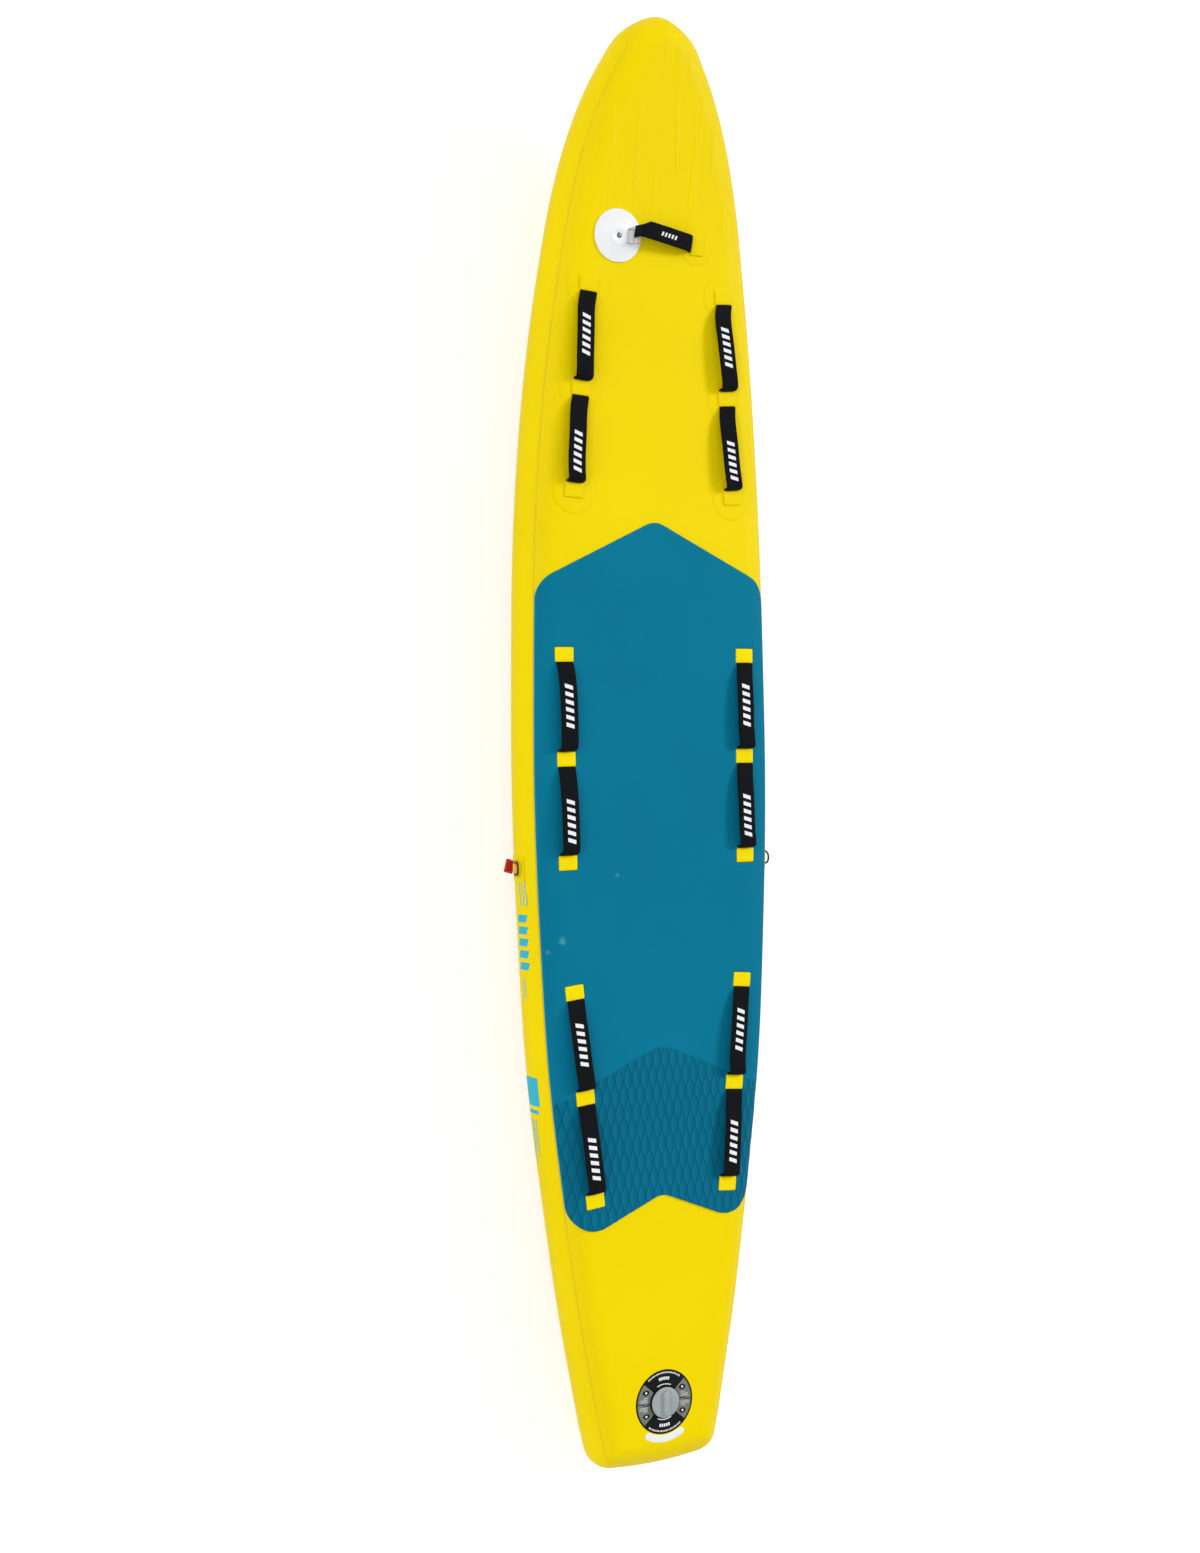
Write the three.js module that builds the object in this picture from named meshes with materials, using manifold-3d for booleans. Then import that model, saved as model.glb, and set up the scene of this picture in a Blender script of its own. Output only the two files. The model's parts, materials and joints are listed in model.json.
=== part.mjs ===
// Inflatable lifeguard rescue board, in millimetres.
// +X runs to the nose, +Y to port and +Z up. The origin lies on the flat hull under mid-length.
import * as THREE from 'three';
import { mergeVertices } from 'three/addons/utils/BufferGeometryUtils.js';
import Module from 'manifold-3d';

const wasm = await Module();
wasm.setup();

// Board outline, section and nose rocker
const boardLength = 3200;
const boardWidth = 628;
const boardThickness = 142;
const noseLift = 100;
const rockerLength = 1300;
const rockerPower = 2.2;
const tailWidth = 298;
const tailCornerRadius = 55;
const tailInnerRadius = 3;
const tailBulge = 6;
const tailBulgeShare = 0.75;

// Half outline from nose to tail: share of the length from the tail, share of the half width
const outlineShares = [
  [1, 0],
  [0.9885, 0.252],
  [0.9688, 0.39],
  [0.9375, 0.541],
  [0.8906, 0.685],
  [0.8281, 0.797],
  [0.75, 0.895],
  [0.6563, 0.965],
  [0.5625, 0.992],
  [0.4688, 1],
  [0.375, 0.971],
  [0.2813, 0.916],
  [0.1875, 0.805],
  [0.1094, 0.69],
  [0.0594, 0.598],
  [0.0297, 0.542],
];
const fineSpans = 8;
const fineSteps = 2;
const cornerSteps = 4;

// Sheets that make the shell, from the chamber outwards, and the air gap between them
const skinThickness = 1.6;
const bandThickness = 1.6;
const padThickness = 4.5;
const patchThickness = 1.2;
const tabThickness = 5;
const clearance = 0.3;

// Rail section angles in degrees, 90 on the flat deck, 0 at the widest point, -90 on the hull
const padEdgeAngle = 47;
const bandEdgeAngle = 44;
const skinEdgeAngle = 22;
const railAngles = [90, 75, 60, padEdgeAngle, bandEdgeAngle, skinEdgeAngle, 0,
  -skinEdgeAngle, -bandEdgeAngle, -60, -75, -90];

// Deck pad outline, measured from the foremost and the rearmost strap anchors that it surrounds
const padAheadOfStraps = 159;
const padApexReach = 137;
const padBehindStraps = 95;
const padNotchReach = 92;
const padCornerRadius = 66;
const padCornerSteps = 5;
const padApexRadius = 46;
const padCornerReachShare = 1.5;
const padOverrun = 2;

// Grab straps: anchors of each row as shares of the length from the tail and of the half width
const strapRows = {
  front: [[0.8159, 0.535], [0.7466, 0.583], [0.6781, 0.634]],
  mid: [[0.5675, 0.723], [0.4969, 0.7166], [0.4269, 0.7134]],
  rear: [[0.3388, 0.675], [0.2666, 0.602], [0.1953, 0.535]],
};
const strapWidth = 41;
const strapThickness = 5.5;
const strapRise = 20;
const strapSwing = 20;
const strapFootSlack = 2;
const strapEndGap = 0.5;
const tabLength = 32;
const tabWidth = 44;
const tabCorner = 2.5;
const tabCornerSteps = 1;
const tabRoom = 0.8;
const patchRadius = 50;
const roundSteps = 12;

// Arch of a strap as shares of its half span and its rise, steep aft and slack fore;
// the nose strap is steep to port
const archShares = [[-1, 0], [-0.985, 0.5], [-0.95, 0.85], [-0.84, 0.99], [-0.5, 1], [-0.1, 0.96],
  [0.25, 0.87], [0.55, 0.68], [0.8, 0.42], [0.93, 0.2], [1, 0]];
const noseArchShares = [[-1, 0], [-0.985, 0.22], [-0.9, 0.4], [-0.6, 0.6], [-0.2, 0.82], [0.2, 0.97],
  [0.5, 1], [0.78, 0.92], [0.93, 0.72], [0.98, 0.4], [1, 0]];

// Nose strap and the round fitting that holds its port end, measured from the foremost strap anchors
const noseStrapPortAhead = 123.12;
const noseStrapStarboardAhead = 105.12;
const noseStrapPort = 62;
const noseStrapStarboard = 78;
const noseStrapWidth = 37;
const noseStrapRise = 30;
const nosePatchRadius = 43;
const discAhead = 107.12;
const discPort = 102;
const discRadius = 56.5;
const discRim = 2.4;
const discHubRadius = 23;
const discHubHeight = 9;
const discRecessRadius = 10;
const discRecessDepth = 2;
// Lift that keeps the fitting's flat underside off the rising deck
const discSag = 0.6;
const discNotchStart = 22;
const discNotchLength = 22;
const discNotchWidth = 33;
const discNotchCorner = 3;
const discSlitWidth = 2;
const discSegments = 32;
const tongueLength = 13.5;
const tongueWidth = 27;
const tongueThickness = 2.6;
const tongueDrop = 1.4;
const screwRadius = 4;
const screwHead = 1.6;
const screwEdge = 1;
const screwCrownRadius = 2.8;
const screwShank = 2;
const screwShankLength = 5;
const screwSegments = 12;

// Inflation valve in the deck near the tail
const valveFromTail = 155;
const flangeRadius = 31;
const flangeThickness = 4;
const barrelRadius = 20;
const barrelBore = 15;
const barrelDepth = 34;
const seatThickness = 3;
const seatBore = 11;
const spiderWidth = 5;
const spiderHubRadius = 5.5;
const nutRadius = 35;
const nutFlange = 4;
const nutCollarRadius = 25;
const nutDepth = 16;
const pocketRadius = 39;
const pocketDepth = 52;
const stemRadius = 3;
const stemTop = 10;
const buttonRadius = 6;
const buttonThickness = 2;
const poppetRadius = 13.5;
const poppetThickness = 3;
const springRadius = 5;
const capRadius = 34;
const capThickness = 4.5;
const capEdge = 2.7;
const capCrownRadius = 31.6;
const capPlugRadius = 11.8;
const capLipRadius = 14;
const capPlugDepth = 5;
const capLipThickness = 2;
const gripLength = 56;
const gripWidth = 13;
const gripHeight = 9;
const gripCorner = 6;
const gripCornerSteps = 3;
const sealRadius = 14.5;
const runningGap = 0.4;
const valveSegments = 28;

// Rings on the rails at mid-length
const ringFromTail = 1354;
const ringPatchLength = 58;
const ringInner = 24;
const ringDepth = 20;
const ringWire = 2.2;
const ringLean = 8;
const ringSegments = 8;
const ringBowSteps = 12;
// Bow of a ring: shares of its half length and of its depth
const ringBowShares = [[-1, 0], [-1, 0.35], [-0.86, 0.72], [-0.45, 0.96], [0, 1],
  [0.45, 0.96], [0.86, 0.72], [1, 0.35], [1, 0]];
const sleeveLength = 15;
const sleeveWall = 1.8;
const sleeveStandOff = 1;
const sleeveSegments = 12;

// Cloth tag on the port rail, below the ring patch
const tagLength = 28;
const tagReach = 21;
const tagThickness = 1.4;
const tagCorner = 3;
const tagTilt = 8;
const tagAngle = -25;

// Fin box and fin under the tail
const finBoxFromTail = 250;
const finBoxLength = 240;
const finBoxWidth = 74;
const finPlateThickness = 2.5;
const finBlockWidth = 26;
const finBlockHeight = 10;
const finBoxCorner = 12;
const finSlotWidth = 7;
const finSlotStop = 14;
const finRailWidth = 14;
const finRailHeight = 4;
const finLipHeight = 3;
const finChord = 170;
const finDepth = 66;
const finThickness = 6;
const finOutlineShares = [[0, 0], [0.09, 0.35], [0.24, 0.68], [0.45, 0.92], [0.66, 1], [0.84, 0.97],
  [0.86, 0.86], [0.83, 0.6], [0.86, 0.3], [1, 0]];

// Overrun of every cutting solid
const cutOverrun = 20;

// Derived radii of the rail section
const skinRadius = boardThickness / 2;
const coreRadius = skinRadius - skinThickness - clearance;
const bandRadius = skinRadius + clearance + bandThickness;
const midHeight = skinRadius;
const deckLevel = boardThickness;

const colours = {
  hull: 0xf2d800, pad: 0x007a9b, strap: 0x15161a, white: 0xe9ecee, grey: 0x9aa3a3,
  dark: 0x232428, inner: 0xd9d6c8, spring: 0x8f9396, tag: 0xc8282e,
};

const finishes = {
  coated: 0.45, foam: 0.8, webbing: 0.85, moulded: 0.4, matt: 0.5, cloth: 0.7, metal: 0.3,
};

function rad(degrees) {
  return degrees * Math.PI / 180;
}

function rocker(x) {
  const start = boardLength / 2 - rockerLength;
  const share = Math.max(0, (x - start) / rockerLength);
  return noseLift * share ** rockerPower;
}

function fromTail(distance) {
  return distance - boardLength / 2;
}

// Side stations of the port half, from the nose tip aft, each with its inward normal
function sideStations() {
  const port = outlineShares.map(([along, across]) => (
    new THREE.Vector3(fromTail(along * boardLength), across * boardWidth / 2, 0)));
  const starboard = port.slice(1).reverse().map((p) => new THREE.Vector3(p.x, -p.y, 0));
  const curve = new THREE.CatmullRomCurve3([...starboard, ...port], false, 'centripetal');
  const spans = port.length - 1;
  const stations = [];
  for (let span = 0; span < spans; span += 1) {
    const steps = span < fineSpans ? fineSteps : 1;
    for (let step = 0; step < steps; step += 1) {
      const t = (spans + span + step / steps) / (2 * spans);
      const tangent = curve.getTangent(t);
      stations.push({ point: curve.getPoint(t), inward: new THREE.Vector2(-tangent.y, tangent.x) });
    }
  }
  const last = port[spans];
  const along = tailSideDirection(last);
  stations.push({ point: last, inward: new THREE.Vector2(along.y, -along.x) });
  return stations;
}

// Direction of the straight side that ends in the tail corner, pointing to the nose
function tailSideDirection(last) {
  return new THREE.Vector2(last.x - fromTail(tailBulge), last.y - tailWidth / 2).normalize();
}

const stations = sideStations();

// Rounded tail corner for an outline drawn in by the given inset
function tailCorner(inset) {
  const { point, inward } = stations[stations.length - 1];
  const along = tailSideDirection(point);
  const start = new THREE.Vector2(point.x + inward.x * inset, point.y + inward.y * inset);
  const edge = fromTail(inset + tailBulge);
  const sharp = new THREE.Vector2(edge, start.y - along.y / along.x * (start.x - edge));
  const turn = Math.acos(along.y);
  const radius = Math.max(tailCornerRadius - inset, tailInnerRadius);
  const first = sharp.clone().addScaledVector(along, radius * Math.tan(turn / 2));
  const centre = first.clone().addScaledVector(inward, radius);
  const from = Math.atan2(-inward.y, -inward.x);
  const points = [];
  for (let step = 0; step <= cornerSteps; step += 1) {
    const angle = from + turn * step / cornerSteps;
    const spoke = new THREE.Vector2(Math.cos(angle), Math.sin(angle));
    points.push(centre.clone().addScaledVector(spoke, radius));
  }
  return points;
}

// Half outline, port side, from the nose tip to the middle of the tail
function halfOutline(inset) {
  const side = stations.map(({ point, inward }) => (
    new THREE.Vector2(point.x + inward.x * inset, point.y + inward.y * inset)));
  const corner = tailCorner(inset);
  const end = corner[corner.length - 1];
  const between = new THREE.Vector2(end.x - tailBulge * tailBulgeShare, end.y / 2);
  const middle = new THREE.Vector2(end.x - tailBulge, 0);
  return [...side, ...corner, between, middle];
}

// The two outline points that bracket x, and how far between them x lies
function bracket(outline, x) {
  const k = outline.findIndex((p) => p.x < x);
  const share = (x - outline[k].x) / (outline[k - 1].x - outline[k].x);
  return { aft: outline[k], fore: outline[k - 1], share };
}

function widthAt(outline, x) {
  const { aft, fore, share } = bracket(outline, x);
  return aft.y + share * (fore.y - aft.y);
}

// Rise and slope of the flat deck at x, along the facets that its stations make
function deckRise(x) {
  const { aft, fore, share } = bracket(flatOutline, x);
  return rocker(aft.x) + share * (rocker(fore.x) - rocker(aft.x));
}

function deckSlope(x) {
  const { aft, fore } = bracket(flatOutline, x);
  return Math.atan2(rocker(fore.x) - rocker(aft.x), fore.x - aft.x);
}

const flatOutline = halfOutline(bandRadius);

// Closed outline, anticlockwise from above
function planRing(inset) {
  const half = halfOutline(inset);
  const mirrored = half.slice(1, -1).reverse().map((p) => new THREE.Vector2(p.x, -p.y));
  return [...half, ...mirrored];
}

// Outline at one angle of the rail section, for a sheet surface at the given radius
function railRing(radius, degrees) {
  const angle = rad(degrees);
  const height = midHeight + radius * Math.sin(angle);
  const inset = bandRadius - radius * Math.cos(angle);
  return planRing(inset).map((p) => new THREE.Vector3(p.x, p.y, height + rocker(p.x)));
}

function toSolid(positions, triangles) {
  return new wasm.Manifold(new wasm.Mesh({
    numProp: 3,
    vertProperties: new Float32Array(positions),
    triVerts: new Uint32Array(triangles),
  }));
}

// Solid between rings that follow each other, looped or closed by flat strips across the board
function ringSolid(rings, looped) {
  const count = rings[0].length;
  const half = count / 2;
  const mirror = (i) => (count - i) % count;
  const triangles = [];
  const bands = looped ? rings.length : rings.length - 1;
  for (let band = 0; band < bands; band += 1) {
    const upper = band * count;
    const lower = ((band + 1) % rings.length) * count;
    for (let i = 0; i < count; i += 1) {
      const next = (i + 1) % count;
      triangles.push(upper + i, lower + i, lower + next, upper + i, lower + next, upper + next);
    }
  }
  const cap = (base, facing) => {
    for (let i = 0; i < half; i += 1) {
      const corners = [i, i + 1, mirror(i + 1), mirror(i)].map((k) => base + k);
      const fans = i === 0 ? [[0, 1, 2]] : [[0, 1, 2], [0, 2, 3]];
      const kept = i === half - 1 ? [[0, 1, 3]] : fans;
      kept.forEach((fan) => {
        const picked = fan.map((k) => corners[k]);
        triangles.push(...(facing > 0 ? picked : picked.reverse()));
      });
    }
  };
  if (!looped) {
    cap(0, 1);
    cap((rings.length - 1) * count, -1);
  }
  const positions = rings.flat().flatMap((p) => [p.x, p.y, p.z]);
  return toSolid(positions, triangles);
}

// Sheet on the deck side, from the rail angle given up to the flat
function deckSheet(innerRadius, thickness, edgeAngle) {
  const angles = railAngles.filter((angle) => angle >= edgeAngle);
  const outer = angles.map((angle) => railRing(innerRadius + thickness, angle));
  const inner = angles.map((angle) => railRing(innerRadius, angle)).reverse();
  return ringSolid([...outer, ...inner], false);
}

function hullSheet(innerRadius, thickness, edgeAngle) {
  const angles = railAngles.filter((angle) => angle <= -edgeAngle);
  const inner = angles.map((angle) => railRing(innerRadius, angle)).reverse();
  const outer = angles.map((angle) => railRing(innerRadius + thickness, angle));
  return ringSolid([...inner, ...outer], false);
}

function bandSheet(innerRadius, thickness, edgeAngle) {
  const angles = railAngles.filter((angle) => Math.abs(angle) <= edgeAngle);
  const outer = angles.map((angle) => railRing(innerRadius + thickness, angle));
  const inner = angles.map((angle) => railRing(innerRadius, angle)).reverse();
  return ringSolid([...outer, ...inner], true);
}

// Three.js geometry to a solid, and back
function solidOf(geometry, matrix) {
  const bare = geometry.clone();
  bare.deleteAttribute('normal');
  bare.deleteAttribute('uv');
  if (matrix) bare.applyMatrix4(matrix);
  const merged = mergeVertices(bare);
  return toSolid(merged.attributes.position.array, merged.index.array);
}

function geometryOf(solid) {
  const mesh = solid.getMesh();
  const geometry = new THREE.BufferGeometry();
  geometry.setAttribute('position', new THREE.BufferAttribute(mesh.vertProperties, 3));
  geometry.setIndex(new THREE.BufferAttribute(mesh.triVerts, 1));
  geometry.computeVertexNormals();
  return geometry;
}

function move(x, y, z) {
  return new THREE.Matrix4().makeTranslation(x, y, z);
}

function extrude(shape, depth, curveSegments = 4) {
  return new THREE.ExtrudeGeometry(shape, { depth, bevelEnabled: false, curveSegments });
}

function roundedRectangle(length, width, corner) {
  const shape = new THREE.Shape();
  const x = length / 2 - corner;
  const y = width / 2 - corner;
  shape.absarc(x, y, corner, 0, Math.PI / 2);
  shape.absarc(-x, y, corner, Math.PI / 2, Math.PI);
  shape.absarc(-x, -y, corner, Math.PI, Math.PI * 1.5);
  shape.absarc(x, -y, corner, Math.PI * 1.5, Math.PI * 2);
  return shape;
}

// Polygon whose corners that carry a radius are rounded by tangent arcs
function roundedPolygon(corners, steps) {
  const points = [];
  corners.forEach(({ at, radius }, index) => {
    if (!radius) {
      points.push(at);
      return;
    }
    const before = corners[(index + corners.length - 1) % corners.length].at;
    const after = corners[(index + 1) % corners.length].at;
    const back = before.clone().sub(at).normalize();
    const ahead = after.clone().sub(at).normalize();
    const half = Math.acos(back.dot(ahead)) / 2;
    const centre = back.clone().add(ahead).normalize().multiplyScalar(radius / Math.sin(half)).add(at);
    const first = at.clone().addScaledVector(back, radius / Math.tan(half)).sub(centre);
    const last = at.clone().addScaledVector(ahead, radius / Math.tan(half)).sub(centre);
    const turn = Math.atan2(first.cross(last), first.dot(last));
    for (let step = 0; step <= steps; step += 1) {
      points.push(first.clone().rotateAround(new THREE.Vector2(), turn * step / steps).add(centre));
    }
  });
  return new THREE.Shape(points);
}

// Upright prism through the whole board
function deckPrism(shape, x, y, turn, curveSegments) {
  const depth = boardThickness + noseLift + 2 * cutOverrun;
  const place = move(x, y, midHeight).multiply(new THREE.Matrix4().makeRotationZ(turn));
  return solidOf(extrude(shape, depth, curveSegments), place);
}

function deckPiece(shape, x, y, turn, low, thickness, curveSegments) {
  const sheet = deckSheet(skinRadius + low, thickness, padEdgeAngle);
  return sheet.intersect(deckPrism(shape, x, y, turn, curveSegments));
}

function disc(radius) {
  return new THREE.Shape().absarc(0, 0, radius, 0, Math.PI * 2);
}

function lathe(profile, segments) {
  const points = profile.map(([r, z]) => new THREE.Vector2(r, z));
  const geometry = new THREE.LatheGeometry(points, segments);
  return geometry.rotateX(Math.PI / 2);
}

// Scene graph
const board = new THREE.Group();

function add(name, geometry, colour, roughness, metalness = 0) {
  const material = new THREE.MeshStandardMaterial({ color: colour, roughness, metalness });
  const mesh = new THREE.Mesh(geometry, material);
  mesh.name = name;
  board.add(mesh);
  return mesh;
}

function addSolid(name, solid, colour, roughness, metalness) {
  return add(name, geometryOf(solid), colour, roughness, metalness);
}

// Strap anchors of one row on one side, fore to aft, on the deck plan
function rowAnchors(row, side) {
  return strapRows[row].map(([along, across]) => (
    new THREE.Vector2(fromTail(along * boardLength), side * across * boardWidth / 2)));
}

function rowTurn(anchors) {
  const run = anchors[0].clone().sub(anchors[anchors.length - 1]);
  return Math.atan2(run.y, run.x);
}

function aheadOfStraps(distance) {
  return rowAnchors('front', 1)[0].x + distance;
}

const sides = [['port', 1], ['starboard', -1]];

function valvePlace() {
  return [fromTail(valveFromTail), 0];
}

function buildShell() {
  const [valveX, valveY] = valvePlace();
  const pocket = solidOf(extrude(disc(pocketRadius), pocketDepth + cutOverrun, roundSteps),
    move(valveX, valveY, deckLevel - pocketDepth));
  const hole = deckPrism(disc(barrelRadius + 2 * clearance), valveX, valveY, 0, valveSegments);
  const core = ringSolid(railAngles.map((angle) => railRing(coreRadius, angle)), false);
  addSolid('drop_stitch_core', core.subtract(pocket), colours.inner, finishes.foam);
  const skin = deckSheet(skinRadius - skinThickness, skinThickness, skinEdgeAngle);
  addSolid('deck_skin', skin.subtract(hole), colours.hull, finishes.coated);
  const hull = hullSheet(skinRadius - skinThickness, skinThickness, skinEdgeAngle);
  addSolid('hull_skin', hull, colours.hull, finishes.coated);
  const band = bandSheet(skinRadius + clearance, bandThickness, bandEdgeAngle);
  addSolid('rail_band', band, colours.hull, finishes.coated);
}

function padOutline() {
  const edgeInset = bandRadius - skinRadius * Math.cos(rad(padEdgeAngle)) - padOverrun;
  const side = halfOutline(edgeInset);
  const foremost = rowAnchors('mid', 1)[0].x;
  const rearmost = rowAnchors('rear', 1).pop().x;
  const shoulder = foremost + padAheadOfStraps;
  const lobe = rearmost - padBehindStraps;
  const cornerReach = padCornerRadius * padCornerReachShare;
  const clearOfCorner = (p) => Math.min(shoulder - p.x, p.x - lobe) > cornerReach;
  const port = [
    { at: new THREE.Vector2(shoulder, widthAt(side, shoulder)), radius: padCornerRadius },
    ...side.filter(clearOfCorner).map((at) => ({ at })),
    { at: new THREE.Vector2(lobe, widthAt(side, lobe)), radius: padCornerRadius },
  ];
  const starboard = [...port].reverse().map(({ at, radius }) => (
    { at: new THREE.Vector2(at.x, -at.y), radius }));
  return roundedPolygon([
    { at: new THREE.Vector2(shoulder + padApexReach, 0), radius: padApexRadius },
    ...port,
    { at: new THREE.Vector2(lobe + padNotchReach, 0), radius: padApexRadius },
    ...starboard,
  ], padCornerSteps);
}

function buildPad() {
  let pad = deckPiece(padOutline(), 0, 0, 0, clearance, padThickness);
  const window = roundedRectangle(tabLength + 2 * tabRoom, tabWidth + 2 * tabRoom, tabCorner);
  sides.forEach(([, side]) => {
    ['mid', 'rear'].forEach((row) => {
      const anchors = rowAnchors(row, side);
      anchors.forEach((at) => {
        pad = pad.subtract(deckPrism(window, at.x, at.y, rowTurn(anchors), tabCornerSteps));
      });
    });
  });
  addSolid('deck_pad', pad, colours.pad, finishes.foam);
}

// Height that the strap's line of swing has over the deck skin
function swingLift(row) {
  const seat = row === 'front' ? patchThickness : padThickness;
  return seat + 2 * clearance;
}

function buildTabs() {
  const tab = roundedRectangle(tabLength, tabWidth, tabCorner);
  sides.forEach(([sideName, side]) => {
    Object.keys(strapRows).forEach((row) => {
      const anchors = rowAnchors(row, side);
      const onPatch = row === 'front';
      const low = onPatch ? patchThickness + 2 * clearance : clearance;
      const thickness = onPatch ? tabThickness - patchThickness : tabThickness;
      anchors.forEach((at, index) => {
        const label = `${sideName}_${row}_${index + 1}`;
        const piece = deckPiece(tab, at.x, at.y, rowTurn(anchors), low, thickness, tabCornerSteps);
        addSolid(`strap_tab_${label}`, piece, colours.hull, finishes.coated);
        if (!onPatch) return;
        const shape = disc(patchRadius);
        const round = deckPiece(shape, at.x, at.y, 0, clearance, patchThickness, roundSteps);
        addSolid(`strap_patch_${label}`, round, colours.hull, finishes.coated);
      });
    });
  });
}

// Arch between two feet, its feet cut to a point so that it clears the deck at full swing
function strapSolid(span, width, rise, shares) {
  const height = rise - strapThickness / 2;
  const line = shares.map(([along, up]) => new THREE.Vector2(along * span / 2, up * height));
  const normals = line.map((p, i) => {
    const before = line[Math.max(i - 1, 0)];
    const after = line[Math.min(i + 1, line.length - 1)];
    const run = after.clone().sub(before).normalize();
    return new THREE.Vector2(-run.y, run.x);
  });
  const offset = (by) => line.map((p, i) => p.clone().addScaledVector(normals[i], by));
  const half = strapThickness / 2;
  const outline = new THREE.Shape([...offset(half), ...offset(-half).reverse()]);
  const upright = new THREE.Matrix4().makeRotationX(Math.PI / 2);
  const arch = solidOf(extrude(outline, width), move(0, width / 2, 0).multiply(upright));
  const reach = width / 2 + cutOverrun;
  const climb = reach * Math.tan(rad(strapSwing + strapFootSlack));
  const under = new THREE.Shape([
    new THREE.Vector2(0, clearance),
    new THREE.Vector2(-reach, climb + clearance),
    new THREE.Vector2(-reach, -reach),
    new THREE.Vector2(reach, -reach),
    new THREE.Vector2(reach, climb + clearance),
  ]);
  const endwise = new THREE.Matrix4().makeBasis(
    new THREE.Vector3(0, 1, 0), new THREE.Vector3(0, 0, 1), new THREE.Vector3(1, 0, 0));
  const length = span + 2 * cutOverrun;
  return arch.subtract(solidOf(extrude(under, length), move(-length / 2, 0, 0).multiply(endwise)));
}

// Frame with u from foot to foot, v along the deck and n away from it
function strapFrame(from, to, deckNormal) {
  const u = to.clone().sub(from).normalize();
  const v = deckNormal.clone().cross(u).normalize();
  const n = u.clone().cross(v);
  const middle = from.clone().add(to).multiplyScalar(0.5);
  return new THREE.Matrix4().makeBasis(u, v, n).setPosition(middle);
}

function deckPoint(x, y, lift) {
  return new THREE.Vector3(x, y, deckLevel + deckRise(x) + lift);
}

function addStrap(name, from, to, width, rise, shares, deckNormal) {
  const solid = strapSolid(from.distanceTo(to) - strapThickness, width, rise, shares);
  const mesh = addSolid(name, solid, colours.strap, finishes.webbing);
  mesh.applyMatrix4(strapFrame(from, to, deckNormal));
}

function buildStraps() {
  const up = new THREE.Vector3(0, 0, 1);
  sides.forEach(([sideName, side]) => {
    Object.keys(strapRows).forEach((row) => {
      const feet = rowAnchors(row, side).map((at) => deckPoint(at.x, at.y, swingLift(row)));
      for (let index = 0; index < feet.length - 1; index += 1) {
        const along = feet[index].clone().sub(feet[index + 1]).normalize();
        const inset = tabLength / 2 + strapEndGap;
        const from = feet[index + 1].clone().addScaledVector(along, inset);
        const to = feet[index].clone().addScaledVector(along, -inset);
        const name = `strap_${sideName}_${row}_${index + 1}`;
        addStrap(name, from, to, strapWidth, strapRise, archShares, up);
      }
    });
  });
}

// Seat on the sloping nose deck, turned to the slope there
function noseSeat(x, y, lift) {
  const slope = new THREE.Matrix4().makeRotationY(-deckSlope(x));
  return move(x, y, deckLevel + deckRise(x)).multiply(slope).multiply(move(0, 0, lift));
}

function noseSwingLift() {
  return discRim + (discHubHeight - discRim) / 2;
}

function buildNoseStrap() {
  const x = aheadOfStraps(noseStrapStarboardAhead);
  const from = deckPoint(x, -noseStrapStarboard, noseSwingLift());
  const to = deckPoint(aheadOfStraps(noseStrapPortAhead), noseStrapPort, noseSwingLift());
  const slope = deckSlope(x);
  const normal = new THREE.Vector3(-Math.sin(slope), 0, Math.cos(slope));
  addStrap('nose_strap', from, to, noseStrapWidth, noseStrapRise, noseArchShares, normal);
  const tabY = -noseStrapStarboard - strapEndGap - tabLength / 2;
  const tab = roundedRectangle(tabWidth, tabLength, tabCorner);
  const low = patchThickness + 2 * clearance;
  const cover = deckPiece(tab, x, tabY, 0, low, tabThickness - patchThickness, tabCornerSteps);
  addSolid('nose_strap_tab', cover, colours.hull, finishes.coated);
  const round = deckPiece(disc(nosePatchRadius), x, tabY, 0, clearance, patchThickness, roundSteps);
  addSolid('nose_strap_patch', round, colours.hull, finishes.coated);
}

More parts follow.
